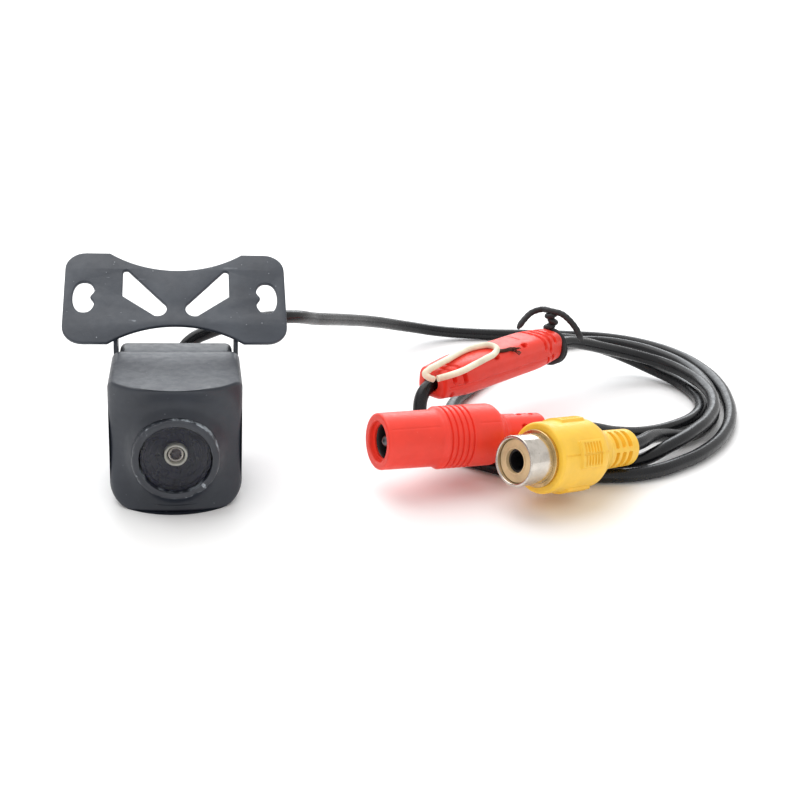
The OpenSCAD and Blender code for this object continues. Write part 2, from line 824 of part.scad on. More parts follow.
module rca_contact() {
  color("#8f8a7c") at_rca_jack() difference() {
    translate([0, 0, 1]) cylinder(r = 1.95 - gap, h = rca_socket_len + 0.9);
    translate([0, 0, 0]) cylinder(r = rca_socket_r, h = rca_socket_len + 1);
  }
}

front_shell();
rear_shell();
housing_seal();
lens_bezel();
front_glass();
lens_seal();
lens_barrel();
aperture_ring();
second_lens();
rear_lens();
lens_holder();
ir_filter();
image_sensor();
sensor_board();
holder_screws();
processor_board();
board_spacers();
board_header();
wire_plug();
inner_wires();
case_screws();
cable_gland();
pivot_inserts();
friction_washers();
pivot_screws();
mounting_bracket();
camera_lead();
splitter_block();
dc_lead();
rca_lead();
dc_jack_body();
dc_jack_liner();
dc_jack_contact();
dc_jack_pin();
rca_jack_body();
rca_base_ring();
rca_sleeve();
rca_insulator();
rca_contact();
option_loop();
option_loop_strands();
twist_tie();
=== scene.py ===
import math
import random

import bmesh
import bpy
from mathutils import Matrix, Vector


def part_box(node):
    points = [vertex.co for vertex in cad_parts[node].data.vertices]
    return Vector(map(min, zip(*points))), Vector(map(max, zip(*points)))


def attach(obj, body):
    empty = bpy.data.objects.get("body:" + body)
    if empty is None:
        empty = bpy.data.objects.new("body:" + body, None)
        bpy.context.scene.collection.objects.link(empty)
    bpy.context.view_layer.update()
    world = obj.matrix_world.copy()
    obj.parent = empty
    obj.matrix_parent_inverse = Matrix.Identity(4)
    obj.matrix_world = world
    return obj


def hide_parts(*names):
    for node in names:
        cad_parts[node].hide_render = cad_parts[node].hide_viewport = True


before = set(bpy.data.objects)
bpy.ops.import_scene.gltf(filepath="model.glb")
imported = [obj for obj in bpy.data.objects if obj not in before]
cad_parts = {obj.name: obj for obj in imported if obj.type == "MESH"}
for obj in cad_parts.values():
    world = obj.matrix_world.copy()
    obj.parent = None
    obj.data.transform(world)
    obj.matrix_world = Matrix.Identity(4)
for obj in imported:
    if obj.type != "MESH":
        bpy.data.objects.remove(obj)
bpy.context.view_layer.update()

# Looks of a small reversing camera: its head, tilt bracket, cables and connectors.
# Lengths are millimetres in the helpers below, and become metres in the meshes.

MM = 0.001
HEAD = "camera"
BRACKET = "bracket"

# ---- places, from the frame ----


def box_mm(node):
    """The lowest and highest corner of a CAD node, in millimetres."""
    low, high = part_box(node)
    return low / MM, high / MM


SHELL_LOW, SHELL_HIGH = box_mm("front_shell")
PARTING_Y = SHELL_HIGH.y
FRONT_Y = SHELL_LOW.y
HEAD_TOP = SHELL_HIGH.z
HALF_W = SHELL_HIGH.x
BEZEL_LOW, BEZEL_HIGH = box_mm("lens_bezel")
LENS_Z = (BEZEL_LOW.z + BEZEL_HIGH.z) / 2
BEZEL_R = BEZEL_HIGH.x
REAR_LOW, REAR_HIGH = box_mm("rear_shell")
REAR_BACK = REAR_HIGH.y
PIVOT_Y = PARTING_Y + 2.55
PIVOT_Z = 11
FLOOR_Z = -0.02


# ---- small helpers ----

def clamp(value, low=0.0, high=1.0):
    return max(low, min(high, value))


def smooth(value, low, high):
    """0 below low, 1 above high, and an S curve between them."""
    t = clamp((value - low) / (high - low))
    return t * t * (3 - 2 * t)


def band(value, middle, half, edge):
    """1 inside middle +- half, falling to 0 over edge on both sides."""
    return 1 - smooth(abs(value - middle), half, half + edge)


def angle_gap(a, b):
    """The smallest difference between two angles in degrees."""
    return abs((a - b + 180) % 360 - 180)


def arc(cx, cy, r, start, end, steps=8):
    """Points on a circle, from start to end in degrees."""
    points = []
    for i in range(steps + 1):
        a = math.radians(start + (end - start) * i / steps)
        points.append((cx + r * math.cos(a), cy + r * math.sin(a)))
    return points


def refined(profile, step):
    """A profile with extra points, so that no stretch is longer than step."""
    out = [profile[0]]
    for (r0, z0), (r1, z1) in zip(profile, profile[1:]):
        count = max(1, math.ceil(math.hypot(r1 - r0, z1 - z0) / step))
        for i in range(1, count + 1):
            t = i / count
            out.append((r0 + (r1 - r0) * t, z0 + (z1 - z0) * t))
    return out


def axis_frame(origin, axis):
    """A place whose Z runs along axis and whose X leans to world up; Y is then the near side."""
    along = Vector(axis).normalized()
    up = Vector((0, 0, 1))
    if abs(along.z) > 0.99:
        up = Vector((1, 0, 0))
    up = (up - along * up.dot(along)).normalized()
    side = along.cross(up)
    place = Matrix((up, side, along)).transposed().to_4x4()
    place.translation = Vector(origin)
    return place


def heading(degrees, dip=0.0):
    """A unit vector at an azimuth from +X, dipping below the horizontal."""
    a = math.radians(degrees)
    d = math.radians(dip)
    return Vector((math.cos(a) * math.cos(d), math.sin(a) * math.cos(d), -math.sin(d)))


def placed(name, data):
    """A new object in the scene."""
    obj = bpy.data.objects.new(name, data)
    bpy.context.scene.collection.objects.link(obj)
    return obj


def assigned(obj, body, node):
    """Puts a piece on its body, in place of a CAD node."""
    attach(obj, body)
    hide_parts(node)
    return obj


def finished(name, vertices, faces, material, slot, node, sharp):
    """A mesh piece of the head or cables from points in millimetres, smooth but for its sharp edges."""
    mesh = bpy.data.meshes.new(name)
    mesh.from_pydata([tuple(Vector(v) * MM) for v in vertices], [], faces)
    mesh.validate()
    mesh.update()
    obj = placed(name, mesh)
    mesh.shade_smooth()
    mesh.set_sharp_from_angle(angle=math.radians(sharp))
    mesh.materials.append(material)
    return assigned(obj, HEAD, node)


def skin(rings, closed=False):
    """Vertices and faces of a skin over rings that all have the same count of points."""
    count = len(rings[0])
    vertices = [p for ring in rings for p in ring]
    faces = []
    last = len(rings) if closed else len(rings) - 1
    for i in range(last):
        a = i * count
        b = (i + 1) % len(rings) * count
        for k in range(count):
            m = (k + 1) % count
            faces.append((a + k, a + m, b + m, b + k))
    if not closed:
        faces.append(tuple(range(count - 1, -1, -1)))
        faces.append(tuple((len(rings) - 1) * count + k for k in range(count)))
    return vertices, faces


def turned_parts(profile, place, dent=None, around=96, closed=False):
    """A lathe skin along Z of a place; dent(z, degrees, r) moves the surface in or out."""
    rings = []
    for r, z in profile:
        ring = []
        for k in range(around):
            degrees = 360 * k / around
            a = math.radians(degrees)
            radius = max(r + (dent(z, degrees, r) if dent else 0.0), 0.02)
            ring.append(place @ Vector((radius * math.cos(a), radius * math.sin(a), z)))
        rings.append(ring)
    return skin(rings, closed)


def turned_piece(name, profile, place, look, node, dent=None, around=96, sharp=35, closed=True):
    """A finished lathe piece that stands for a CAD node; look is its material and a slot name, which is
    not used.
    """
    vertices, faces = turned_parts(profile, place, dent, around, closed)
    return finished(name, vertices, faces, *look, node, sharp)


def joined(parts):
    """Several vertex and face lists as one."""
    vertices, faces = [], []
    for more, polygons in parts:
        base = len(vertices)
        vertices += more
        faces += [tuple(i + base for i in polygon) for polygon in polygons]
    return vertices, faces


def tube_parts(points, radius, sides=12, taper=None):
    """A round tube along points; taper gives each point's own radius."""
    rings = []
    normal = None
    for i, point in enumerate(points):
        before = points[max(i - 1, 0)]
        after = points[min(i + 1, len(points) - 1)]
        along = (after - before).normalized()
        if normal is None:
            normal = along.orthogonal().normalized()
        normal = (normal - along * normal.dot(along)).normalized()
        other = along.cross(normal)
        r = radius if taper is None else taper[i]
        rings.append([
            point + (normal * math.cos(a) + other * math.sin(a)) * r
            for a in (2 * math.pi * k / sides for k in range(sides))
        ])
    return skin(rings)


def through(points, steps):
    """A smooth line through points, by Catmull-Rom."""
    p = [Vector(v) for v in points]
    p = [p[0] * 2 - p[1]] + p + [p[-1] * 2 - p[-2]]
    out = []
    for i in range(1, len(p) - 2):
        for k in range(steps):
            t = k / steps
            a, b, c, d = p[i - 1], p[i], p[i + 1], p[i + 2]
            out.append(0.5 * (
                b * 2 + (c - a) * t
                + (a * 2 - b * 5 + c * 4 - d) * t * t
                + (b * 3 - a - c * 3 + d) * t * t * t
            ))
    out.append(p[-2])
    return out


def sheet_piece(name, outlines, thick, bevel, place, material, body, slot, node):
    """A flat piece with round edges: the first outline is its edge, the rest are holes."""
    curve = bpy.data.curves.new(name, "CURVE")
    curve.dimensions = "2D"
    curve.fill_mode = "BOTH"
    curve.extrude = (thick / 2 - bevel) * MM
    curve.bevel_depth = bevel * MM
    curve.bevel_resolution = 3
    curve.offset = -bevel * MM
    for outline in outlines:
        spline = curve.splines.new("POLY")
        spline.points.add(len(outline) - 1)
        for point, (x, y) in zip(spline.points, outline):
            point.co = (x * MM, y * MM, 0, 1)
        spline.use_cyclic_u = True
    source = placed(name + "_flat", curve)
    bpy.context.view_layer.update()
    mesh = bpy.data.meshes.new_from_object(source)
    bpy.data.objects.remove(source)
    metres = place.copy()
    metres.translation = place.translation * MM
    mesh.transform(metres)
    mesh.name = name
    obj = placed(name, mesh)
    weld(mesh)
    mesh.shade_smooth()
    mesh.set_sharp_from_angle(angle=math.radians(50))
    mesh.materials.clear()
    mesh.materials.append(material)
    return assigned(obj, body, node)


def weld(mesh):
    """Merges points that lie together."""
    work = bmesh.new()
    work.from_mesh(mesh)
    bmesh.ops.remove_doubles(work, verts=work.verts, dist=1e-6)
    bmesh.ops.recalc_face_normals(work, faces=work.faces)
    work.to_mesh(mesh)
    work.free()


# ---- materials ----

class Nodes:
    """A node tree with short calls for the textures that the materials share."""

    def __init__(self, name):
        self.material = bpy.data.materials.new(name)
        self.material.use_nodes = True
        self.tree = self.material.node_tree
        self.shader = self.tree.nodes["Principled BSDF"]
        coordinates = self.tree.nodes.new("ShaderNodeTexCoord")
        self.place = coordinates.outputs["Object"]

    def link(self, source, target):
        self.tree.links.new(source, target)

    def feed(self, socket, source):
        """Joins a value to one of the shader's sockets."""
        self.link(source, self.shader.inputs[socket])

    def stretched(self, scale, rotation):
        node = self.tree.nodes.new("ShaderNodeMapping")
        node.inputs["Scale"].default_value = scale
        node.inputs["Rotation"].default_value = rotation
        self.link(self.place, node.inputs["Vector"])
        return node.outputs["Vector"]

    def noise(self, per_mm, detail=4.0, rough=0.55, vector=None):
        node = self.tree.nodes.new("ShaderNodeTexNoise")
        node.inputs["Scale"].default_value = per_mm / MM
        node.inputs["Detail"].default_value = detail
        node.inputs["Roughness"].default_value = rough
        self.link(vector or self.place, node.inputs["Vector"])
        return node.outputs["Fac"]

    def cells(self, per_mm):
        node = self.tree.nodes.new("ShaderNodeTexVoronoi")
        node.inputs["Scale"].default_value = per_mm / MM
        self.link(self.place, node.inputs["Vector"])
        return node.outputs["Distance"]

    def remap(self, value, low, high, to_low=0.0, to_high=1.0):
        node = self.tree.nodes.new("ShaderNodeMapRange")
        node.inputs["From Min"].default_value = low
        node.inputs["From Max"].default_value = high
        node.inputs["To Min"].default_value = to_low
        node.inputs["To Max"].default_value = to_high
        self.link(value, node.inputs["Value"])
        return node.outputs["Result"]

    def cloud(self, per_mm, detail, low=0.0, high=1.0):
        """Cloudy noise that runs from low to high."""
        return self.remap(self.noise(per_mm, detail), 0.3, 0.7, low, high)

    def math(self, kind, a, b):
        node = self.tree.nodes.new("ShaderNodeMath")
        node.operation = kind
        for socket, value in zip(node.inputs, (a, b)):
            if isinstance(value, (int, float)):
                socket.default_value = value
            else:
                self.link(value, socket)
        return node.outputs["Value"]

    def mix(self, amount, first, second):
        node = self.tree.nodes.new("ShaderNodeMix")
        node.data_type = "RGBA"
        self.link(amount, node.inputs["Factor"])
        for index, value in ((6, first), (7, second)):
            if isinstance(value, tuple):
                node.inputs[index].default_value = (*value, 1)
            else:
                self.link(value, node.inputs[index])
        return node.outputs[2]

    def bump(self, height, distance_mm):
        node = self.tree.nodes.new("ShaderNodeBump")
        node.inputs["Distance"].default_value = distance_mm * MM
        self.link(height, node.inputs["Height"])
        self.link(node.outputs["Normal"], self.shader.inputs["Normal"])

    def edges(self, low, high):
        """1 on worn outer edges, from the mesh's own curvature."""
        node = self.tree.nodes.new("ShaderNodeNewGeometry")
        return self.remap(node.outputs["Pointiness"], low, high)


def moulded(name, color, rough=0.42, grain=0.012, light=1.25, dark=0.75, specks=0.0,
            speck_color=(0.5, 0.5, 0.5), coat=0.0, grain_per_mm=9.0):
    """Moulded plastic or painted metal: mottled colour, fine grain, dust specks."""
    n = Nodes(name)
    deep = tuple(c * dark for c in color)
    pale = tuple(min(c * light, 1.0) for c in color)
    tone = n.mix(n.cloud(0.35, 5), deep, pale)
    if specks:
        dust = n.math("MULTIPLY", n.remap(n.cells(1.3), 0.1 * specks, 0.03 * specks),
                      n.remap(n.noise(0.6, 2), 0.5, 0.6))
        tone = n.mix(dust, tone, speck_color)
    n.feed("Base Color", tone)
    n.feed("Roughness", n.cloud(1.1, 6, rough - 0.07, rough + 0.08))
    n.shader.inputs["Coat Weight"].default_value = coat
    n.shader.inputs["Coat Roughness"].default_value = 0.25
    n.bump(n.math("ADD", n.noise(grain_per_mm, 3), n.math("MULTIPLY", n.noise(1.2, 4), 1.5)), grain)
    return n.material


def metal(name, color, rough):
    """Plated or turned metal with a faint grain, smudges and dark spots."""
    n = Nodes(name)
    tone = n.mix(n.remap(n.noise(0.5, 6), 0.45, 0.75), color, tuple(c * 0.7 for c in color))
    spots = n.remap(n.cells(0.9), 0.08, 0.03)
    n.feed("Base Color", n.mix(spots, tone, (0.2, 0.19, 0.18)))
    n.shader.inputs["Metallic"].default_value = 1.0
    n.feed("Roughness", n.cloud(0.8, 6, rough - 0.06, rough + 0.12))
    n.bump(n.noise(4.0, 3), 0.004)
    return n.material


def glass(name, tint):
    """Clear optical glass with a faint smear."""
    n = Nodes(name)
    n.shader.inputs["Base Color"].default_value = (*tint, 1)
    n.shader.inputs["Transmission Weight"].default_value = 1.0
    n.shader.inputs["IOR"].default_value = 1.45
    n.feed("Roughness", n.remap(n.noise(0.7, 5), 0.4, 0.8, 0.02, 0.07))
    return n.material


def coated_window():
    """Blue-black coated window: glossy, and dim enough to see only the lens behind it."""
    n = Nodes("coated_window")
    tone = n.mix(n.remap(n.noise(0.25, 3), 0.35, 0.65), (0.006, 0.008, 0.02), (0.012, 0.014, 0.036))
    n.feed("Base Color", tone)
    n.feed("Roughness", n.remap(n.noise(0.6, 5), 0.45, 0.75, 0.05, 0.14))
    n.shader.inputs["Alpha"].default_value = 0.2
    n.shader.inputs["Specular IOR Level"].default_value = 0.7
    return n.material


def bracket_paint():
    """Slate paint on sheet metal: satin, with dust and hair scratches."""
    n = Nodes("bracket_paint")
    base = n.mix(n.remap(n.noise(0.12, 4), 0.35, 0.65), (0.024, 0.03, 0.042), (0.04, 0.049, 0.065))
    dust = n.math("MULTIPLY", n.remap(n.cells(0.9), 0.1, 0.03), n.remap(n.noise(0.3, 2), 0.5, 0.58))
    base = n.mix(dust, base, (0.4, 0.43, 0.47))
    hair = n.noise(0.5, 2, vector=n.stretched((0.15, 3.2, 3.2), (0, 0, 0.35)))
    hair = n.math("MULTIPLY", n.remap(hair, 0.7, 0.73), n.remap(n.noise(0.35, 2), 0.56, 0.62))
    base = n.mix(n.math("MULTIPLY", hair, 0.5), base, (0.3, 0.33, 0.37))
    n.feed("Base Color", base)
    n.feed("Roughness", n.cloud(0.9, 6, 0.3, 0.46))
    n.bump(n.math("ADD", n.noise(6.0, 3), n.math("MULTIPLY", n.noise(0.8, 4), 2.0)), 0.012)
    return n.material


def shell_plastic():
    """Charcoal moulding with a blue cast, fine grain and pale dust specks."""
    n = Nodes("shell_plastic")
    base = n.mix(n.cloud(0.16, 4), (0.013, 0.0165, 0.025), (0.022, 0.027, 0.038))
    dust = n.math("MULTIPLY", n.remap(n.cells(1.1), 0.09, 0.03), n.remap(n.noise(0.4, 2), 0.5, 0.58))
    base = n.mix(n.math("MULTIPLY", dust, 0.7), base, (0.3, 0.33, 0.35))
    n.feed("Base Color", base)
    n.feed("Roughness", n.cloud(0.8, 6, 0.36, 0.5))
    n.bump(n.math("ADD", n.noise(8.0, 3), n.noise(1.4, 3)), 0.014)
    return n.material


def bezel_plastic():
    """The shell's plastic, rubbed pale in nicks along the ring's outer edge."""
    n = Nodes("bezel_plastic")
    base = n.mix(n.cloud(0.2, 4), (0.02, 0.023, 0.031), (0.034, 0.038, 0.048))
    worn = n.math("MULTIPLY", n.edges(0.52, 0.56), n.remap(n.noise(0.45, 5, 0.7), 0.5, 0.6))
    n.feed("Base Color", n.mix(worn, base, (0.42, 0.46, 0.5)))
    n.feed("Roughness", n.cloud(1.0, 6, 0.3, 0.46))
    n.bump(n.math("ADD", n.noise(8.0, 3), n.noise(1.4, 3)), 0.012)
    return n.material


def jacket(name, color, rough, specular=0.5):
    """Extruded cable jacket: satin, with faint grain and handling smears."""
    n = Nodes(name)
    tone = n.mix(n.cloud(0.25, 5), tuple(c * 0.8 for c in color),
                 tuple(min(c * 1.3, 1) for c in color))
    n.feed("Base Color", tone)
    n.feed("Roughness", n.cloud(0.9, 6, rough - 0.06, rough + 0.1))
    n.shader.inputs["Specular IOR Level"].default_value = specular
    n.bump(n.math("ADD", n.noise(2.5, 2), n.noise(0.5, 2)), 0.0015)
    return n.material


SHELL = shell_plastic()
BEZEL = bezel_plastic()
PAINT = bracket_paint()
RUBBER = moulded("black_rubber", (0.014, 0.014, 0.016), rough=0.6, grain=0.02)
BARREL = moulded("barrel_black", (0.005, 0.006, 0.013), rough=0.3, grain=0.0006, grain_per_mm=2.0)
CREAM = moulded("ring_cream", (0.95, 0.9, 0.72), rough=0.35, grain=0.004)
BOARD = moulded("board_green", (0.02, 0.13, 0.06), rough=0.3, grain=0.01, specks=1.0,
                speck_color=(0.6, 0.5, 0.2))
WHITE = moulded("plug_white", (0.85, 0.83, 0.76), rough=0.4)
BLACK = moulded("black_plastic", (0.012, 0.012, 0.013), rough=0.35)
SENSOR = moulded("sensor_dark", (0.05, 0.06, 0.09), rough=0.12, grain=0.002, coat=1.0)
WIRE = jacket("inner_wire_red", (0.5, 0.06, 0.04), 0.4)
WASHER = moulded("washer_nylon", (0.7, 0.68, 0.62), rough=0.45)
RED = moulded("red_plastic", (0.86, 0.043, 0.022), rough=0.4, grain=0.01, light=1.04, dark=0.95,
              specks=0.8, speck_color=(0.9, 0.25, 0.18), grain_per_mm=7.0)
YELLOW = moulded("yellow_plastic", (0.93, 0.56, 0.05), rough=0.38, grain=0.014, light=1.05,
                 dark=0.92, specks=0.6, speck_color=(1.0, 0.75, 0.35), grain_per_mm=7.0)
TAN = moulded("tan_plastic", (0.62, 0.44, 0.24), rough=0.42, grain=0.012, light=1.2, dark=0.85,
              specks=1.0, speck_color=(0.75, 0.6, 0.4))
JACKET = jacket("cable_black", (0.006, 0.0065, 0.008), 0.26, 0.35)
CREAM_WIRE = jacket("wire_cream", (0.86, 0.78, 0.6), 0.42)
STRAND = metal("strand_copper", (0.09, 0.05, 0.035), rough=0.45)
NICKEL = metal("nickel_plate", (0.66, 0.61, 0.55), rough=0.18)
BRASS = metal("turned_brass", (0.62, 0.45, 0.22), rough=0.25)
STEEL = metal("black_steel", (0.14, 0.145, 0.155), rough=0.32)
GLASS = coated_window()
LENS = glass("inner_lens_glass", (0.8, 0.88, 1.0))
FILTER = glass("filter_glass", (0.5, 0.85, 0.8))
# Painted shade: the pupil is an opaque dark reddish disc standing in for the shade inside the lens.
PUPIL_PAINTED_SHADE = moulded("pupil_painted_shade", (0.03, 0.012, 0.012), rough=0.08, grain=0.001, coat=1.0)

CAD_LOOKS = (
    (SHELL, ("front_shell", "rear_shell")),
    (RUBBER, ("housing_seal", "lens_seal", "cable_gland", "twist_tie")),
    (BEZEL, ("lens_bezel",)),
    (GLASS, ("front_glass",)),
    (BARREL, ("lens_barrel", "lens_holder")),
    (CREAM, ("aperture_ring",)),
    (LENS, ("second_lens", "rear_lens")),
    (FILTER, ("ir_filter",)),
    (SENSOR, ("image_sensor",)),
    (BOARD, ("sensor_board", "processor_board")),
    (STEEL, ("holder_screws", "case_screws", "pivot_screws", "dc_jack_pin")),
    (BRASS, ("board_spacers", "pivot_inserts", "rca_base_ring")),
    (BLACK, ("board_header", "dc_jack_liner", "rca_contact")),
    (WHITE, ("wire_plug",)),
    (WIRE, ("inner_wires",)),
    (WASHER, ("friction_washers",)),
    (PAINT, ("mounting_bracket",)),
    (JACKET, ("camera_lead", "dc_lead", "rca_lead")),
    (RED, ("splitter_block", "dc_jack_body")),
    (NICKEL, ("dc_jack_contact", "rca_sleeve")),
    (YELLOW, ("rca_jack_body",)),
    (TAN, ("rca_insulator",)),
    (CREAM_WIRE, ("option_loop",)),
    (STRAND, ("option_loop_strands",)),
)
for look, names in CAD_LOOKS:
    for name in names:
        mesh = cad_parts[name].data
        mesh.materials.clear()
        mesh.materials.append(look)

# ---- camera ----

YAW = math.radians(10.6)
PITCH = math.radians(21.0)
ROLL = math.radians(3.5)
EYE = Vector((2.33, -188.21, 86.3))


def make_camera():
    forward = Vector((math.sin(YAW) * math.cos(PITCH), math.cos(YAW) * math.cos(PITCH),
                      -math.sin(PITCH)))
    level = Vector((math.cos(YAW), -math.sin(YAW), 0))
    down = forward.cross(level)
    right = level * math.cos(ROLL) - down * math.sin(ROLL)
    down = level * math.sin(ROLL) + down * math.cos(ROLL)
    camera = placed("camera_view", bpy.data.cameras.new("camera_view"))
    camera.data.lens = 54.0
    camera.data.sensor_width = 36.0
    camera.data.clip_start = 0.005
    camera.data.clip_end = 10.0
    place = Matrix((right, -down, -forward)).transposed().to_4x4()
    place.translation = EYE * MM
    camera.matrix_world = place
    bpy.context.scene.camera = camera


make_camera()

# ---- cords ----

# The routes of part.scad, point for point, in millimetres.
CAMERA_ROUTE = [
    (0, 9.5, 11), (0, 12.4, 11.3), (0, 15.1, 12.5), (0.5, 17.2, 14.7), (2.3, 18.6, 17),
    (5.8, 19.5, 18.6), (10, 20.4, 19.7), (15, 21.8, 20.3), (20, 24.2, 20), (26.5, 33.5, 16.7),
    (34, 46, 12.6), (42, 57.6, 8.5), (51, 66.5, 4.6), (60, 70.8, 2.1), (70, 71.5, 1.3),
    (80, 71, 1.3), (90, 70.3, 1.3), (99.5, 68.5, 1.3), (107, 63.6, 1.3), (111.9, 56, 1.3),
    (113.9, 47, 1.3), (113.6, 37.5, 1.3), (111.6, 28.5, 1.3), (108.3, 19.6, 1.3),
    (103.5, 11.3, 1.3), (97.3, 4, 1.3), (89.7, -2, 1.3), (81, -6.4, 1.3), (73.5, -7.3, 1.3),
    (66, -6.3, 1.3), (58.5, -5.2, 1.3), (52.6, -1.2, 1.3), (48.6, 2.4, 1.5), (45.4, 4.8, 3),
    (43.3, 7, 5.6), (43, 9.2, 8.6), (44.6, 11.2, 10.9), (47.9, 13.3, 11.9),
]
RCA_ROUTE = [
    (74.9, 32.9, 11.7), (78.6, 35.8, 11.3), (82.8, 38.2, 10.1), (88, 40.6, 8.4), (93, 42.2, 6.9),
    (98, 42.4, 5.6), (102.4, 40.4, 4.8), (105.3, 35.6, 4.3), (106.3, 28, 4.1), (104.5, 20, 4),
    (100.5, 12.6, 4), (95, 6.2, 4), (88, 0.9, 3.2), (80.5, -2.3, 1.6), (72, -2.9, 1.3),
    (63.8, -2.5, 1.3), (57.8, -0.2, 1.3), (53.5, 5, 1.3), (51.2, 12, 1.3), (51.2, 20, 1.3),
    (54, 28.4, 1.3), (59, 36, 1.3), (64.8, 44, 1.3), (71, 52, 1.3), (78.5, 59.8, 1.3),
    (87, 64.8, 1.3), (95.5, 66.3, 1.3), (103.3, 62.8, 1.3), (108.4, 56, 1.3), (110.9, 48, 1.3),
    (111, 39.5, 1.3), (109.2, 30.8, 1.3), (106.1, 22.7, 1.3), (101.7, 15.4, 1.3),
    (95.6, 9.9, 1.4), (89.3, 5.9, 3.1), (84.2, 1.1, 4.9), (80.7, -2.7, 5.5), (77, -5.6, 5.9),
]
DC_ROUTE = [
    (73.1, 35.2, 11.7), (76.8, 38.1, 11.2), (81.2, 41.2, 9.9), (86, 44, 8.1), (91, 46, 6.1),
    (96.2, 46.6, 4), (100.8, 45, 2.3), (104.2, 40.8, 1.5), (105.8, 34, 1.3), (104.8, 26.4, 1.3),
    (101, 19.8, 1.3), (95, 14.9, 1.3), (87.5, 11.2, 1.5), (80, 7.2, 3.2), (73.5, 3.5, 5.6),
    (68, 0.8, 6.9), (62.4, -1, 7.3),
]
LOOP_ROUTE = [
    (45, 8.5, 13.4), (44, 8.2, 13.9), (43.4, 8.4, 14.5), (44, 8.8, 15), (45.7, 10.2, 15.4),
    (48.2, 12.8, 15.6), (51, 16.1, 15.7), (53.8, 18.9, 15.7), (56.3, 20.4, 15.7),
    (58, 20.6, 15.7), (59, 19.6, 15.5), (58.4, 18, 15.1), (55.9, 15.4, 14.8), (53.2, 12.7, 14.6),
    (50.3, 9.9, 14.4), (47.7, 8.5, 14.1), (45.6, 8, 13.7),
]
LEAD_D = 2.5
LOOP_D = 1.2


def metres(point):
    return tuple(v * MM for v in point)


def cord_piece(name, route, diameter, material, node):
    """One smooth open curve through the route's points, with flat closed ends."""
    curve = bpy.data.curves.new(name, "CURVE")
    curve.dimensions = "3D"
    curve.bevel_depth = diameter / 2 * MM
    curve.bevel_resolution = 6
    curve.resolution_u = 10
    curve.use_fill_caps = True
    curve.twist_mode = "MINIMUM"
    spline = curve.splines.new("BEZIER")
    spline.bezier_points.add(len(route) - 1)
    for point, place in zip(spline.bezier_points, route):
        point.co = metres(place)
        point.handle_left_type = "AUTO"
        point.handle_right_type = "AUTO"
    curve.materials.append(material)
    obj = placed(name, curve)
    return assigned(obj, HEAD, node)


camera_cord = cord_piece("camera_cord", CAMERA_ROUTE, LEAD_D, JACKET, "camera_lead")
rca_cord = cord_piece("rca_cord", RCA_ROUTE, LEAD_D, JACKET, "rca_lead")
dc_cord = cord_piece("dc_cord", DC_ROUTE, LEAD_D, JACKET, "dc_lead")
loop_cord = cord_piece("loop_cord", LOOP_ROUTE, LOOP_D, CREAM_WIRE, "option_loop")

# ---- head: front shell ----

SIDE_DEPTH = 13.5
FULL_DEPTH = PARTING_Y - FRONT_Y
BOW_RISE = FULL_DEPTH - SIDE_DEPTH
BOW_R = (HALF_W ** 2 + BOW_RISE ** 2) / (2 * BOW_RISE)
LENS_PLACE = axis_frame((0, PARTING_Y, LENS_Z), (0, -1, 0))


def bow_depth(x):
    """Distance from the parting plane forward to the bowed face, at a place across it."""
    return FULL_DEPTH - BOW_R + math.sqrt(BOW_R ** 2 - min(abs(x), HALF_W) ** 2)


def valley(x, z):
    """Depth of the soft valley round the lens ring."""
    r = math.hypot(x, z - LENS_Z)
    inner = smooth(r, 5.6, 8.2)
    outer = 1 - smooth(r, 8.4, 13.2)
    return 1.6 * inner * outer


def outline_with_normals(half, low, high, low_r, high_r):
    """Points and outward normals round an upright rectangle with round corners."""
    corners = [
        (half - low_r, low + low_r, low_r, -90), (half - high_r, high - high_r, high_r, 0),
        (high_r - half, high - high_r, high_r, 90), (low_r - half, low + low_r, low_r, 180),
    ]
    out = []
    for index, (cx, cz, r, start) in enumerate(corners):
        for i in range(11):
            a = math.radians(start + 9 * i)
            out.append(((cx + r * math.cos(a), cz + r * math.sin(a)), (math.cos(a), math.sin(a))))
        nx, nz, nr, n_start = corners[(index + 1) % 4]
        b = math.radians(n_start)
        (x0, z0), normal = out[-1]
        x1, z1 = nx + nr * math.cos(b), nz + nr * math.sin(b)
        count = math.ceil(math.hypot(x1 - x0, z1 - z0) / 0.5)
        for i in range(1, count):
            t = i / count
            out.append(((x0 + (x1 - x0) * t, z0 + (z1 - z0) * t), normal))
    return out


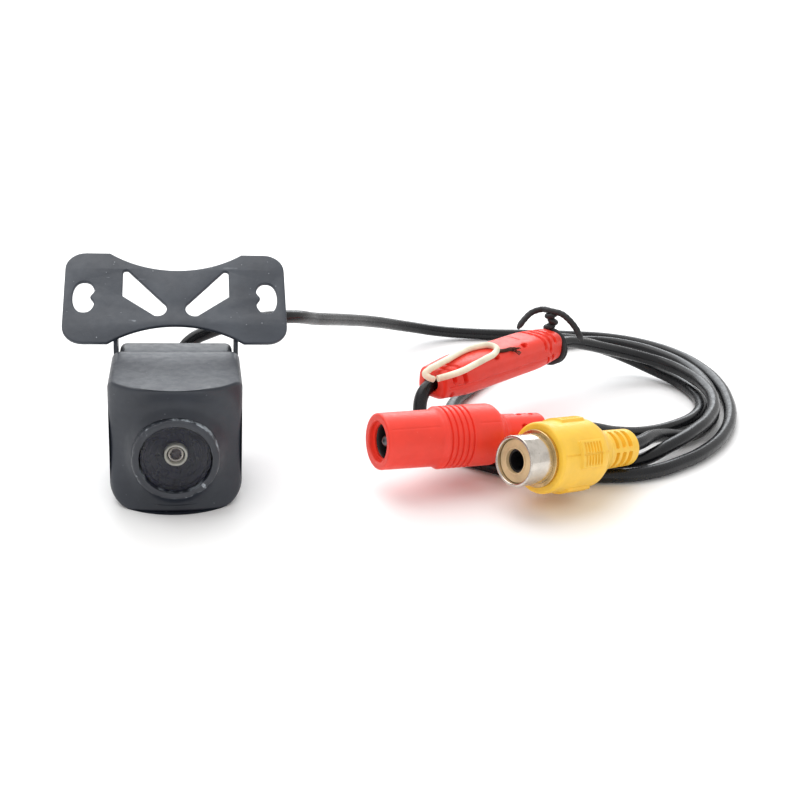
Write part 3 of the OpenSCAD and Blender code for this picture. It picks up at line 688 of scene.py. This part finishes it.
def front_shell_piece():
    """The deep bowed shell, open at the parting plane and round the lens."""
    edge = outline_with_normals(HALF_W, 0.0, HEAD_TOP, 3.2, 1.4)

    def at(inset):
        return [(x - nx * inset, z - nz * inset) for (x, z), (nx, nz) in edge]

    def ring(points, depth):
        return [Vector((x, PARTING_Y - depth(x, z), z)) for x, z in points]

    def circle(r):
        directions = [math.atan2(z - LENS_Z, x) for (x, z), _ in edge]
        return [(r * math.cos(a), LENS_Z + r * math.sin(a)) for a in directions]

    def face(x, z):
        return bow_depth(x) - valley(x, z)

    rings = [ring(at(1.2), lambda x, z: 0.0), ring(at(0.2), lambda x, z: 0.0),
             ring(at(0.05), lambda x, z: 0.06), ring(at(0.0), lambda x, z: 0.22)]
    round_r = 0.55
    sides = 14
    for i in range(1, sides + 1):
        share = i / sides
        rings.append(ring(at(0), lambda x, z: 0.22 + (bow_depth(x) - round_r - 0.22) * share))
    for i in range(1, 7):
        t = math.radians(15 * i)
        inset = round_r * (1 - math.cos(t))
        back = round_r * (1 - math.sin(t))
        rings.append(ring(at(inset), lambda x, z: face(x, z) - back))
    outer = at(round_r)
    inner = circle(BEZEL_R + 0.06)
    for i in range(1, 25):
        t = i / 24
        points = [(a + (c - a) * t, b + (d - b) * t) for (a, b), (c, d) in zip(outer, inner)]
        rings.append(ring(points, face))
    seat = PARTING_Y - BEZEL_HIGH.y
    rings.append(ring(circle(BEZEL_R + 0.02), lambda x, z: seat - 0.1))
    rings.append(ring(circle(5.7), lambda x, z: seat - 0.1))
    rings.append(ring(circle(5.7), lambda x, z: 14.0))
    rings.append(ring(circle(7.2), lambda x, z: 14.0))
    rings.append(ring(at(1.2), lambda x, z: bow_depth(x) - 1.5))
    vertices, faces = skin(rings, closed=True)
    finished("front_shell_skin", vertices, faces, SHELL, "housing_plastic", "front_shell", 30)


front_shell_piece()

# ---- head: rear shell ----

REAR_HALF = REAR_HIGH.x
REAR_EDGE = outline_with_normals(REAR_HALF, REAR_LOW.z, REAR_HIGH.z, 2.6, 1.2)
GLAND_LOW, GLAND_HIGH = box_mm("cable_gland")
GLAND_Z = (GLAND_LOW.z + GLAND_HIGH.z) / 2
SCREW_LOW, SCREW_HIGH = box_mm("case_screws")
SCREW_X = 6.9
SEAL_GAP = 0.4
SCREW_MID = (SCREW_LOW.z + SCREW_HIGH.z) / 2


def circle_at(cx, cy, r, steps=40):
    return arc(cx, cy, r, 0, 360 - 360 / steps, steps - 1)


def rear_shell_piece():
    """The shallow back: a wall with its screw and cable holes, and a rim round it."""
    wall = 1.2
    middle = REAR_BACK - wall / 2
    place = Matrix(((-1, 0, 0), (0, 0, 1), (0, 1, 0))).to_4x4()
    place.translation = Vector((0, middle, 0))
    outlines = [[(-x, z) for (x, z), _ in REAR_EDGE], circle_at(0, GLAND_Z, 1.92)]
    for x in (-SCREW_X, SCREW_X):
        for z in (-SCREW_X, SCREW_X):
            outlines.append(circle_at(x, SCREW_MID + z, 1.4, 32))
    sheet_piece("rear_shell_wall", outlines, wall, 0.3, place, SHELL, HEAD, "housing_plastic",
                "rear_shell")
    start = PARTING_Y + SEAL_GAP
    rings = []
    for inset, y in ((1.2, start), (0.18, start), (0.04, start + 0.06), (0, start + 0.2),
                     (0, middle), (1.2, middle)):
        rings.append([Vector((x - nx * inset, y, z - nz * inset)) for (x, z), (nx, nz) in REAR_EDGE])
    vertices, faces = skin(rings, closed=True)
    finished("rear_shell_rim", vertices, faces, SHELL, "housing_plastic", "rear_shell", 30)
    bosses = []
    for side in (-1, 1):
        place = axis_frame((side * 6.3, PIVOT_Y, PIVOT_Z), (side, 0, 0))
        profile = [(1.52, 0), (2.0, 0), (2.0, REAR_HALF - 6.4), (1.52, REAR_HALF - 6.4)]
        bosses.append(turned_parts(profile, place, around=32, closed=True))
    finished("rear_shell_bosses", *joined(bosses), SHELL, "housing_plastic", "rear_shell", 30)


rear_shell_piece()

# ---- head: lens ----


def bezel_piece():
    """The lens ring, with small nicks on its outer edge."""
    front = PARTING_Y - BEZEL_LOW.y
    seat = PARTING_Y - BEZEL_HIGH.y
    nicks = random.Random(7)
    marks = [(nicks.uniform(0, 360), nicks.uniform(2, 9), nicks.uniform(0.03, 0.09))
             for _ in range(16)]

    def dent(z, degrees, r):
        if z < front - 0.6 or r < BEZEL_R - 0.55:
            return 0.0
        return -sum(depth * band(angle_gap(degrees, at), 0, width / 2, 2.0)
                    for at, width, depth in marks)

    profile = [(5.6, seat), (BEZEL_R, seat), (BEZEL_R, front - 0.5)]
    profile += arc(BEZEL_R - 0.5, front - 0.5, 0.5, 0, 90, 6)
    profile += [(6.0, front), (5.8, front - 0.05)] + arc(5.75, front - 0.2, 0.15, 90, 180, 4)
    turned_piece("lens_ring", profile, LENS_PLACE,
                 (BEZEL, "housing_plastic"), "lens_bezel", dent=dent, around=240)


def glass_piece():
    """The domed front window, about 0.6 mm thick."""
    low, high = box_mm("front_glass")
    apex = PARTING_Y - low.y
    back = PARTING_Y - high.y
    half = high.x
    rise = 1.2
    dome_r = (half ** 2 + rise ** 2) / (2 * rise)
    outside, inside = [], []
    for i in range(25):
        r = half * i / 24
        drop = dome_r - math.sqrt(dome_r ** 2 - r ** 2)
        outside.append((max(r, 0.02), apex - drop))
        inside.append((max(r, 0.02), apex - 0.62 - drop * 0.9))
    profile = outside + [(half, back)] + inside[::-1]
    turned_piece("front_window", profile, LENS_PLACE,
                 (GLASS, "lens_glass"), "front_glass", sharp=40, closed=False)


def barrel_piece():
    """The black cone behind the window, with two fine steps, and the tube behind it."""
    profile = [(5.43, 15.82), (5.43, 18.15), (4.95, 18.15), (4.85, 17.75), (4.0, 17.35),
               (3.95, 17.2), (3.0, 16.85), (2.95, 16.7), (1.95, 16.4), (1.9, 16.0), (3.25, 15.95),
               (3.25, 8.72), (4.5, 8.72), (4.5, 15.82)]
    turned_piece("lens_cone", refined(profile, 0.5), LENS_PLACE,
                 (BARREL, "barrel_plastic"), "lens_barrel", sharp=25)


def iris_pieces():
    """The cream ring, the bright ring inside it and the small pupil, painted dark as the shade inside
    the lens.
    """
    cream = [(1.4, 16.0), (1.82, 16.0), (1.82, 17.0)] + arc(1.62, 17.0, 0.2, 0, 180, 6)
    turned_piece("iris_ring", cream, LENS_PLACE,
                 (CREAM, "cream_ring"), "aperture_ring", around=72, sharp=30)
    steel = [(0.78, 16.0), (1.22, 16.0), (1.22, 16.7)] + arc(1.08, 16.75, 0.14, 0, 90, 4)
    steel += [(0.9, 16.8), (0.78, 16.55)]
    turned_piece("iris_inner_ring", steel, LENS_PLACE,
                 (NICKEL, "cream_ring"), "aperture_ring", around=72, sharp=30)
    # Painted shade: this disc is coloured dark for the shade inside the lens, not for clear glass.
    pupil = [(0.02, 16.75), (0.4, 16.68), (0.7, 16.5), (0.78, 16.4), (1.38, 16.3), (1.38, 16.05),
             (0.02, 16.05)]
    turned_piece("iris_pupil", refined(pupil, 0.15), LENS_PLACE,
                 (PUPIL_PAINTED_SHADE, "inner_glass"), "aperture_ring", around=64, sharp=30, closed=False)


bezel_piece()
glass_piece()
barrel_piece()
iris_pieces()

# ---- tilt bracket ----

PLATE_W = 36.8
PLATE_H = 18.8
PLATE_SLOPE = math.radians(36)
PLATE_FOOT = Vector((0, PARTING_Y + 0.2, 22))
SHEET = 0.7
EAR_MID = REAR_HALF + 0.25 + SHEET / 2
EAR_R = 2.2


def mirrored(outline):
    return [(-x, y) for x, y in reversed(outline)]


def plate_outline():
    """A rectangle with round corners, waisted by an arc above and below."""
    corner = 3.4
    half, waist, depth = PLATE_W / 2, 11.1, 3.6
    waist_r = (waist ** 2 + depth ** 2) / (2 * depth)
    sweep = math.degrees(math.asin(waist / waist_r))
    points = arc(half - corner, corner, corner, -90, 0)
    points += arc(half - corner, PLATE_H - corner, corner, 0, 90)
    points += arc(0, PLATE_H - depth + waist_r, waist_r, -90 + sweep, -90 - sweep, 28)
    points += arc(corner - half, PLATE_H - corner, corner, 90, 180)
    points += arc(corner - half, corner, corner, 180, 270)
    points += arc(0, depth - waist_r, waist_r, 90 + sweep, 90 - sweep, 28)
    return points


def window_outline():
    points = arc(3.1, 7.1, 1.55, 128, 287, 14)
    points += arc(8.35, 9.9, 0.5, -63, 0, 5)
    points += arc(8.3, 14.6, 0.55, 0, 128, 8)
    return points


def kidney_outline():
    """An upright oval slot with a soft bite out of its inner side."""
    points = []
    for i in range(56):
        a = 2 * math.pi * i / 56
        x, y = 1.85 * math.cos(a), 3.2 * math.sin(a)
        x = math.copysign(abs(x / 1.85) ** 0.8 * 1.85, x)
        if x < 0:
            x += 0.85 * math.exp(-((y / 0.85) ** 2))
        points.append((x + PLATE_W / 2 - 3.3, y + PLATE_H / 2))
    return points


def plate_place():
    c, s = math.cos(PLATE_SLOPE), math.sin(PLATE_SLOPE)
    place = Matrix(((1, 0, 0), (0, c, -s), (0, s, c))).to_4x4()
    place.translation = PLATE_FOOT
    return place


def ear_outline():
    """A round end at the tilt axis, and straight sides up into the plate."""
    c, s = math.cos(PLATE_SLOPE), math.sin(PLATE_SLOPE)
    pivot = Vector((PIVOT_Y, PIVOT_Z))
    far = Vector((PLATE_FOOT.y + 7.4 * c, PLATE_FOOT.z + 7.4 * s - 0.2))
    near = Vector((PLATE_FOOT.y + 2.9 * c, PLATE_FOOT.z + 2.9 * s - 0.2))

    def tangent(corner, side):
        toward = corner - pivot
        lean = math.acos(EAR_R / toward.length)
        return math.degrees(math.atan2(toward.y, toward.x) + side * lean)

    points = arc(pivot.x, pivot.y, EAR_R, tangent(near, 1), tangent(far, -1) + 360, 24)
    return points + [tuple(far), tuple(near)]


def bracket_pieces():
    outlines = [plate_outline()]
    for shape in (window_outline(), kidney_outline()):
        outlines += [shape, mirrored(shape)]
    look = (PAINT, BRACKET, "bracket_paint", "mounting_bracket")
    sheet_piece("bracket_plate", outlines, SHEET, 0.2, plate_place(), *look)
    for side, label in ((-1, "minus_x"), (1, "plus_x")):
        place = Matrix(((0, 0, 1), (1, 0, 0), (0, 1, 0))).to_4x4()
        place.translation = Vector((side * EAR_MID, 0, 0))
        hole = circle_at(PIVOT_Y, PIVOT_Z, 1.06, 32)
        sheet_piece("bracket_ear_" + label, [ear_outline(), hole], SHEET, 0.15, place, *look)


bracket_pieces()

# ---- splitter block ----

BLOCK_LEFT = Vector((45.8, 11.6, 11.7))
BLOCK_HEADING = 38.5
BLOCK_LEN = 36.0
BLOCK_START = -0.9
BLOCK_PLACE = axis_frame(BLOCK_LEFT, heading(BLOCK_HEADING))
BLOCK_TURN = 0.063


def along_segment(x, y, start, end):
    """Distance from a point to a segment."""
    ax, ay = start
    bx, by = end
    dx, dy = bx - ax, by - ay
    t = clamp(((x - ax) * dx + (y - ay) * dy) / max(dx * dx + dy * dy, 1e-9))
    return math.hypot(x - ax - dx * t, y - ay - dy * t)


def cuts(features, turn):
    """A dent made of grooves: each has start, end, half width, soft edge and depth."""

    def dent(z, degrees, r):
        total = 0.0
        for (z0, a0), (z1, a1), half, soft, depth in features:
            middle = (a0 + a1) / 2
            gap = (degrees - middle + 180) % 360 - 180
            if z < min(z0, z1) - half - soft or z > max(z0, z1) + half + soft:
                continue
            far = along_segment(z, gap * turn, (z0, (a0 - middle) * turn),
                                (z1, (a1 - middle) * turn))
            total = min(total, -depth * (1 - smooth(far, half, half + soft)))
        return total

    return dent


BLOCK_FEATURES = [
    ((13.4, 50), (14.2, 50), 0.25, 0.25, 1.0), ((22.7, 44), (23.5, 44), 0.25, 0.25, 1.0),
    ((28.4, -75), (29.2, 72), 0.3, 0.2, 0.55), ((30.3, -75), (31.1, 84), 0.3, 0.2, 0.55),
    ((32.3, -75), (32.9, 60), 0.3, 0.2, 0.55),
    ((24.0, -31), (24.0, 15), 0.08, 0.12, 0.14), ((10.0, -33), (24.0, -31), 0.08, 0.12, 0.14),
    ((0.2, -10), (1.4, 56), 0.25, 0.25, 0.4), ((1.45, 60), (1.8, 80), 0.32, 0.15, 0.9),
    ((1.9, -10), (3.8, 56), 0.25, 0.25, 0.4), ((4.0, 62), (4.6, 88), 0.35, 0.15, 0.9),
    ((0.8, 97), (33.0, 104), 0.1, 0.2, 0.22),
    ((1.5, 118), (1.5, 128), 0.3, 0.15, 0.7), ((5.1, 132), (5.1, 142), 0.3, 0.15, 0.7),
    ((30.7, 108), (30.7, 118), 0.25, 0.15, 0.6), ((32.5, 105), (32.5, 115), 0.25, 0.15, 0.6),
    ((4.2, -95), (4.8, -65), 0.35, 0.15, 0.8), ((7.0, -95), (7.4, -70), 0.35, 0.15, 0.8),
    ((28.9, 150), (28.9, 210), 0.3, 0.2, 0.5), ((30.9, 150), (30.9, 210), 0.3, 0.2, 0.5),
]


def block_half(x, left, middle, right):
    """Half width or half height of the block at a place along it."""
    round_r = 0.8
    half = left + (middle - left) * smooth(x, -3, 8)
    half -= (middle - right) * smooth(x, 27, 38)
    end = min(x - BLOCK_START, BLOCK_LEN - x)
    if end < round_r:
        half -= round_r - math.sqrt(max(round_r ** 2 - (round_r - end) ** 2, 0))
    return half


def block_piece():
    """The moulded block: a tapered bar with a soft rectangular section."""
    dent = cuts(BLOCK_FEATURES, BLOCK_TURN)
    around = 168
    power = 3.3

    def section(x, scale=1.0):
        a = block_half(x, 2.7, 3.45, 2.8)
        b = block_half(x, 3.1, 4.05, 3.2)
        ring = []
        for k in range(around):
            degrees = 360 * k / around
            c, s = math.cos(math.radians(degrees)), math.sin(math.radians(degrees))
            r = (abs(c / a) ** power + abs(s / b) ** power) ** (-1 / power)
            r = (r + dent(x, degrees, r)) * scale
            ring.append(BLOCK_PLACE @ Vector((r * c, r * s, x)))
        return ring

    def collar(r, x):
        turns = [2 * math.pi * k / around for k in range(around)]
        return [BLOCK_PLACE @ Vector((r * math.cos(a), r * math.sin(a), x)) for a in turns]

    rings = [collar(0.05, 2.6), collar(1.5, 2.6), collar(1.55, BLOCK_START + 0.15)]
    rings.append(collar(1.7, BLOCK_START))
    rounding = (0.0, 0.03, 0.08, 0.18, 0.32, 0.5, 0.65, 0.8)
    steps = [BLOCK_START + v for v in rounding]
    x = BLOCK_START + 0.95
    while x < BLOCK_LEN - 0.85:
        steps.append(x)
        x += 0.15
    steps += [BLOCK_LEN - v for v in reversed(rounding)]
    rings += [section(x) for x in steps]
    rings += [section(BLOCK_LEN, 0.6), section(BLOCK_LEN, 0.05)]
    vertices, faces = skin(rings)
    return finished("splitter_moulding", vertices, faces, RED, "red_plastic", "splitter_block", 42)


block = block_piece()

# ---- option loop strands and twist tie ----


def block_point(x, far, up):
    """A point from its places along the block, to the far side and up."""
    return BLOCK_PLACE @ Vector((up, -far, x))


def strands_piece():
    """The bared end of the loop: fine wires that twist and then spread."""
    line = through([(58.6, 18.2, 15.15), (59.3, 18.8, 15.2), (60.7, 19.7, 15), (62.1, 20.7, 14.9),
                    (63.3, 20.5, 14.8), (63.8, 19.7, 14.5)], 6)
    spread = random.Random(21)
    parts = []
    for k in range(9):
        phase = k * 2 * math.pi / 9
        length = len(line) - spread.randint(0, 6)
        drift = Vector((spread.uniform(-1, 1), spread.uniform(-1, 1), spread.uniform(-0.4, 0.6)))
        points = []
        for i in range(length):
            t = i / (len(line) - 1)
            wind = phase + t * 5.0
            r = 0.25 + 0.12 * t
            offset = Vector((math.cos(wind) * r, -math.cos(wind) * r * 0.4, math.sin(wind) * r))
            points.append(line[i] + offset + drift * 0.55 * t ** 3)
        parts.append(tube_parts(points, 0.1, 6))
    return finished("loop_strands", *joined(parts), STRAND, "copper_strands",
                    "option_loop_strands", 60)


def tie_piece():
    """The black twist tie: a band round the cables, a knot over it and a loose bow."""
    bow = [(31.4, 4.9, 2.8), (33.4, 5, 4.2), (35.4, 4.7, 5.4), (36.8, 3.2, 6.2), (36.4, 0.9, 6.5),
           (36.8, -1.5, 6.4), (37.1, -3.3, 5.5), (38.1, -4.6, 3.7), (39.9, -5, 1)]
    line = through([block_point(*p) for p in bow], 8)
    taper = []
    for i in range(len(line)):
        end = min(i, len(line) - 1 - i)
        taper.append(0.62 * (0.55 + 0.45 * smooth(end, 0, 3)) + 0.03 * math.sin(i * 1.7))
    parts = [tube_parts(line, 0.55, 14, taper)]
    band_r = 3.35
    for shift, lean in ((-0.3, 0.35), (0.45, -0.3)):
        ring = []
        for k in range(65):
            a = 2 * math.pi * k / 64
            ring.append(block_point(36.4 + shift + lean * math.cos(a), band_r * math.sin(a),
                                    band_r * math.cos(a) - 0.7))
        parts.append(tube_parts(ring, 0.48, 12))
    for x, far, up, r in ((36.6, 0.9, 3.2, 0.7), (36.9, 0.4, 4.4, 0.6), (36.6, 0.8, 5.6, 0.75)):
        wrap = []
        for k in range(33):
            a = 2 * math.pi * k / 32
            wrap.append(block_point(x + r * math.cos(a), far + r * math.sin(a),
                                    up + 0.25 * math.sin(a + x * 9)))
        parts.append(tube_parts(wrap, 0.55, 12))
    core = through([block_point(36.7, 0.6, z) for z in (3.1, 4.2, 5.2, 6.1)], 4)
    parts.append(tube_parts(core, 0.6, 12))
    return finished("twist_tie_wrap", *joined(parts), RUBBER, "dark_rubber", "twist_tie", 60)


strands = strands_piece()
tie = tie_piece()

# ---- DC power jack ----

DC_PLACE = axis_frame((32.3, -10.2, 9.5), heading(17, 4))
DC_BARREL_R = 4.7
DC_GRIP_R = 5.3
DC_LEN = 31.6


def dc_body_piece():
    """Red jack: smooth barrel, five fine grooves, thick grip, and a slotted neck."""
    profile = [(0.02, 12.3), (3.28, 12.3), (3.28, 1.3), (2.86, 1.25), (2.86, 0.95), (3.3, 0.85),
               (3.38, 0.12), (3.5, 0.0), (4.3, 0.0)]
    profile += arc(DC_BARREL_R - 0.4, 0.4, 0.4, -90, 0, 6)
    profile += [(4.8, 9.9), (4.9, 10.3), (5.2, 10.65), (DC_GRIP_R, 10.8)]
    for i in range(5):
        z = 11.05 + 1.03 * i
        profile += [(DC_GRIP_R, z), (5.22, z + 0.08), (4.98, z + 0.17), (4.98, z + 0.35),
                    (5.22, z + 0.44), (DC_GRIP_R, z + 0.52)]
    profile += [(DC_GRIP_R, 20.7), (5.15, 21.2), (4.7, 21.8), (3.9, 22.6), (3.45, 23.3), (3.28, 24.0),
                (3.16, 30.9)]
    profile += arc(2.56, DC_LEN - 0.6, 0.6, 0, 90, 5) + [(0.02, DC_LEN)]
    slots = []
    for z in (26.8, 29.3):
        for side in (-22, 68, 158, 248):
            slots.append(((z, side - 17), (z, side + 17), 0.42, 0.1, 0.95))
    slots.append(((0.6, 45), (9.5, 45), 0.03, 0.09, 0.08))
    slots.append(((17.0, 45), (21.0, 45), 0.03, 0.09, 0.08))
    dent = cuts(slots, 0.056)

    def outside(z, degrees, r):
        return dent(z, degrees, r) if r > 3.4 or z > 24 else 0.0

    return turned_piece("dc_jack_moulding", refined(profile, 0.22), DC_PLACE,
                        (RED, "red_plastic"), "dc_jack_body", dent=outside, around=168,
                        sharp=40, closed=False)


def dc_liner_piece():
    profile = [(3.25, 1.33), (3.25, 11.9), (2.8, 11.9), (2.8, 1.45), (2.9, 1.33)]
    return turned_piece("dc_jack_inside", refined(profile, 1.0), DC_PLACE,
                        (BLACK, "black_plastic"), "dc_jack_liner", around=64, sharp=40)


dc_body = dc_body_piece()
dc_liner = dc_liner_piece()

# ---- RCA video jack ----

RCA_PLACE = axis_frame((52.95, -19, 9.6), heading(29.2, 7.6))
RCA_GRIP_R = 5.9
RCA_LEN = 27.8
PAD_ROLL = 22
PAD_Z = 12.4


def pad_relief(z, degrees):
    """Height of the ribbed pads, and how far a place is on one."""
    gap = min(angle_gap(degrees, side - PAD_ROLL) for side in (0, 90, 180, 270))
    pad = band(gap, 0, 21.0, 2.2) * band(z, PAD_Z, 2.6, 0.22)
    inside = band(gap, 0, 16.5, 1.6) * band(z, PAD_Z, 2.15, 0.18)
    phase = abs(((z - PAD_Z) / 0.72) % 1 - 0.5)
    groove = smooth(phase, 0.14, 0.3)
    middle = band(gap, 0, 1.2, 1.2)
    return pad * 0.4 - inside * max(1 - groove, middle) * 0.34, pad


def rca_body_piece():
    """Yellow grip with four ribbed pads, a shoulder and a slotted neck."""
    profile = [(0.02, 14.1), (4.18, 14.1), (4.18, 5.8), (4.3, 5.62), (4.6, 5.6), (5.4, 5.6)]
    profile += arc(RCA_GRIP_R - 0.5, 6.1, 0.5, -90, 0, 6)
    profile += [(RCA_GRIP_R, 15.6), (5.8, 16.3), (5.5, 16.9), (5.0, 17.8), (4.3, 19.0),
                (3.85, 19.7), (3.5, 20.2), (3.35, 20.7), (3.22, 27.1)]
    profile += arc(2.72, RCA_LEN - 0.5, 0.5, 0, 90, 5) + [(0.02, RCA_LEN)]
    features = [((6.3, 68), (16.8, 68), 0.03, 0.1, 0.16),
                ((6.3, 248), (16.8, 248), 0.03, 0.1, 0.16)]
    for z in (21.9, 23.6, 25.3):
        for start, end in ((8, 62), (84, 146), (200, 300)):
            features.append(((z, start), (z, end), 0.38, 0.1, 0.8))
    dent = cuts(features, 0.08)

    def surface(z, degrees, r):
        if r < 4.5 and z < 14.2:
            return 0.0
        total = dent(z, degrees, r)
        if 9 < z < 15.8 and r > 5:
            height, pad = pad_relief(z, degrees)
            total = height if pad > 0.2 else total
        return total

    return turned_piece("rca_jack_moulding", refined(profile, 0.12), RCA_PLACE,
                        (YELLOW, "yellow_plastic"), "rca_jack_body", dent=surface, around=240,
                        sharp=42, closed=False)


def rca_ring_piece():
    profile = [(4.17, 4.92), (4.65, 4.92), (4.75, 5.0), (4.75, 5.45), (4.65, 5.56), (4.17, 5.56)]
    return turned_piece("rca_collar", profile, RCA_PLACE,
                        (BRASS, "brass"), "rca_base_ring", sharp=30)


def rca_sleeve_piece():
    profile = [(3.62, 0.3), (3.66, 0.1)] + arc(3.8, 0.12, 0.12, 200, 270, 4)
    profile += arc(4.0, 0.15, 0.15, -90, 0, 4) + [(4.15, 4.9), (4.06, 4.95), (4.06, 13.9)]
    profile += [(3.62, 13.9)]
    return turned_piece("rca_nickel_sleeve", profile, RCA_PLACE, (NICKEL, "nickel"), "rca_sleeve")


def rca_insulator_piece():
    profile = [(3.58, 0.8), (3.45, 0.62), (2.3, 0.6), (2.22, 0.55), (2.2, 0.38), (2.1, 0.3),
               (2.0, 0.36), (1.96, 0.5), (1.96, 9.9), (3.58, 9.9)]
    return turned_piece("rca_tan_insulator", refined(profile, 1.0), RCA_PLACE,
                        (TAN, "tan_plastic"), "rca_insulator")


rca_parts = [rca_body_piece(), rca_ring_piece(), rca_sleeve_piece(), rca_insulator_piece()]

# ---- floor and light ----


def floor_material():
    n = Nodes("studio_floor")
    tone = n.mix(n.cloud(0.02, 3), (0.93, 0.925, 0.925), (0.96, 0.96, 0.955))
    n.feed("Base Color", tone)
    n.shader.inputs["Roughness"].default_value = 0.6
    return n.material


def make_floor():
    mesh = bpy.data.meshes.new("floor")
    far = 6.0
    low = FLOOR_Z * MM
    mesh.from_pydata([(-far, -far, low), (far, -far, low), (far, far, low), (-far, far, low)],
                     [], [(0, 1, 2, 3)])
    mesh.materials.append(floor_material())
    return placed("floor", mesh)


def area_light(name, place, target, size, power, color):
    light = bpy.data.lights.new(name, "AREA")
    light.shape = "RECTANGLE"
    light.size, light.size_y = size
    light.energy = power
    light.color = color
    obj = placed(name, light)
    obj.location = place
    toward = Vector(target) - Vector(place)
    obj.rotation_euler = toward.to_track_quat("-Z", "Y").to_euler()


def soft_sun(name, tilt, angle, strength):
    """A broad even light from above, tilted in degrees toward +X and away from the camera."""
    light = bpy.data.lights.new(name, "SUN")
    light.angle = angle
    light.energy = strength
    obj = placed(name, light)
    obj.location = (0, 0, 1)
    obj.rotation_euler = (math.radians(-tilt[1]), math.radians(tilt[0]), 0)


def make_world():
    world = bpy.data.worlds.new("studio")
    world.use_nodes = True
    background = world.node_tree.nodes["Background"]
    background.inputs["Color"].default_value = (1.0, 0.995, 0.99, 1)
    background.inputs["Strength"].default_value = 0.85
    bpy.context.scene.world = world


floor = make_floor()
soft_sun("overhead", (-14, 18), 1.0, 1.4)
area_light("back", (0.1, 0.8, 0.42), (0.04, 0, 0.01), (0.9, 0.4), 4.0, (0.92, 0.96, 1.0))
make_world()
bpy.context.scene.view_settings.view_transform = "Standard"
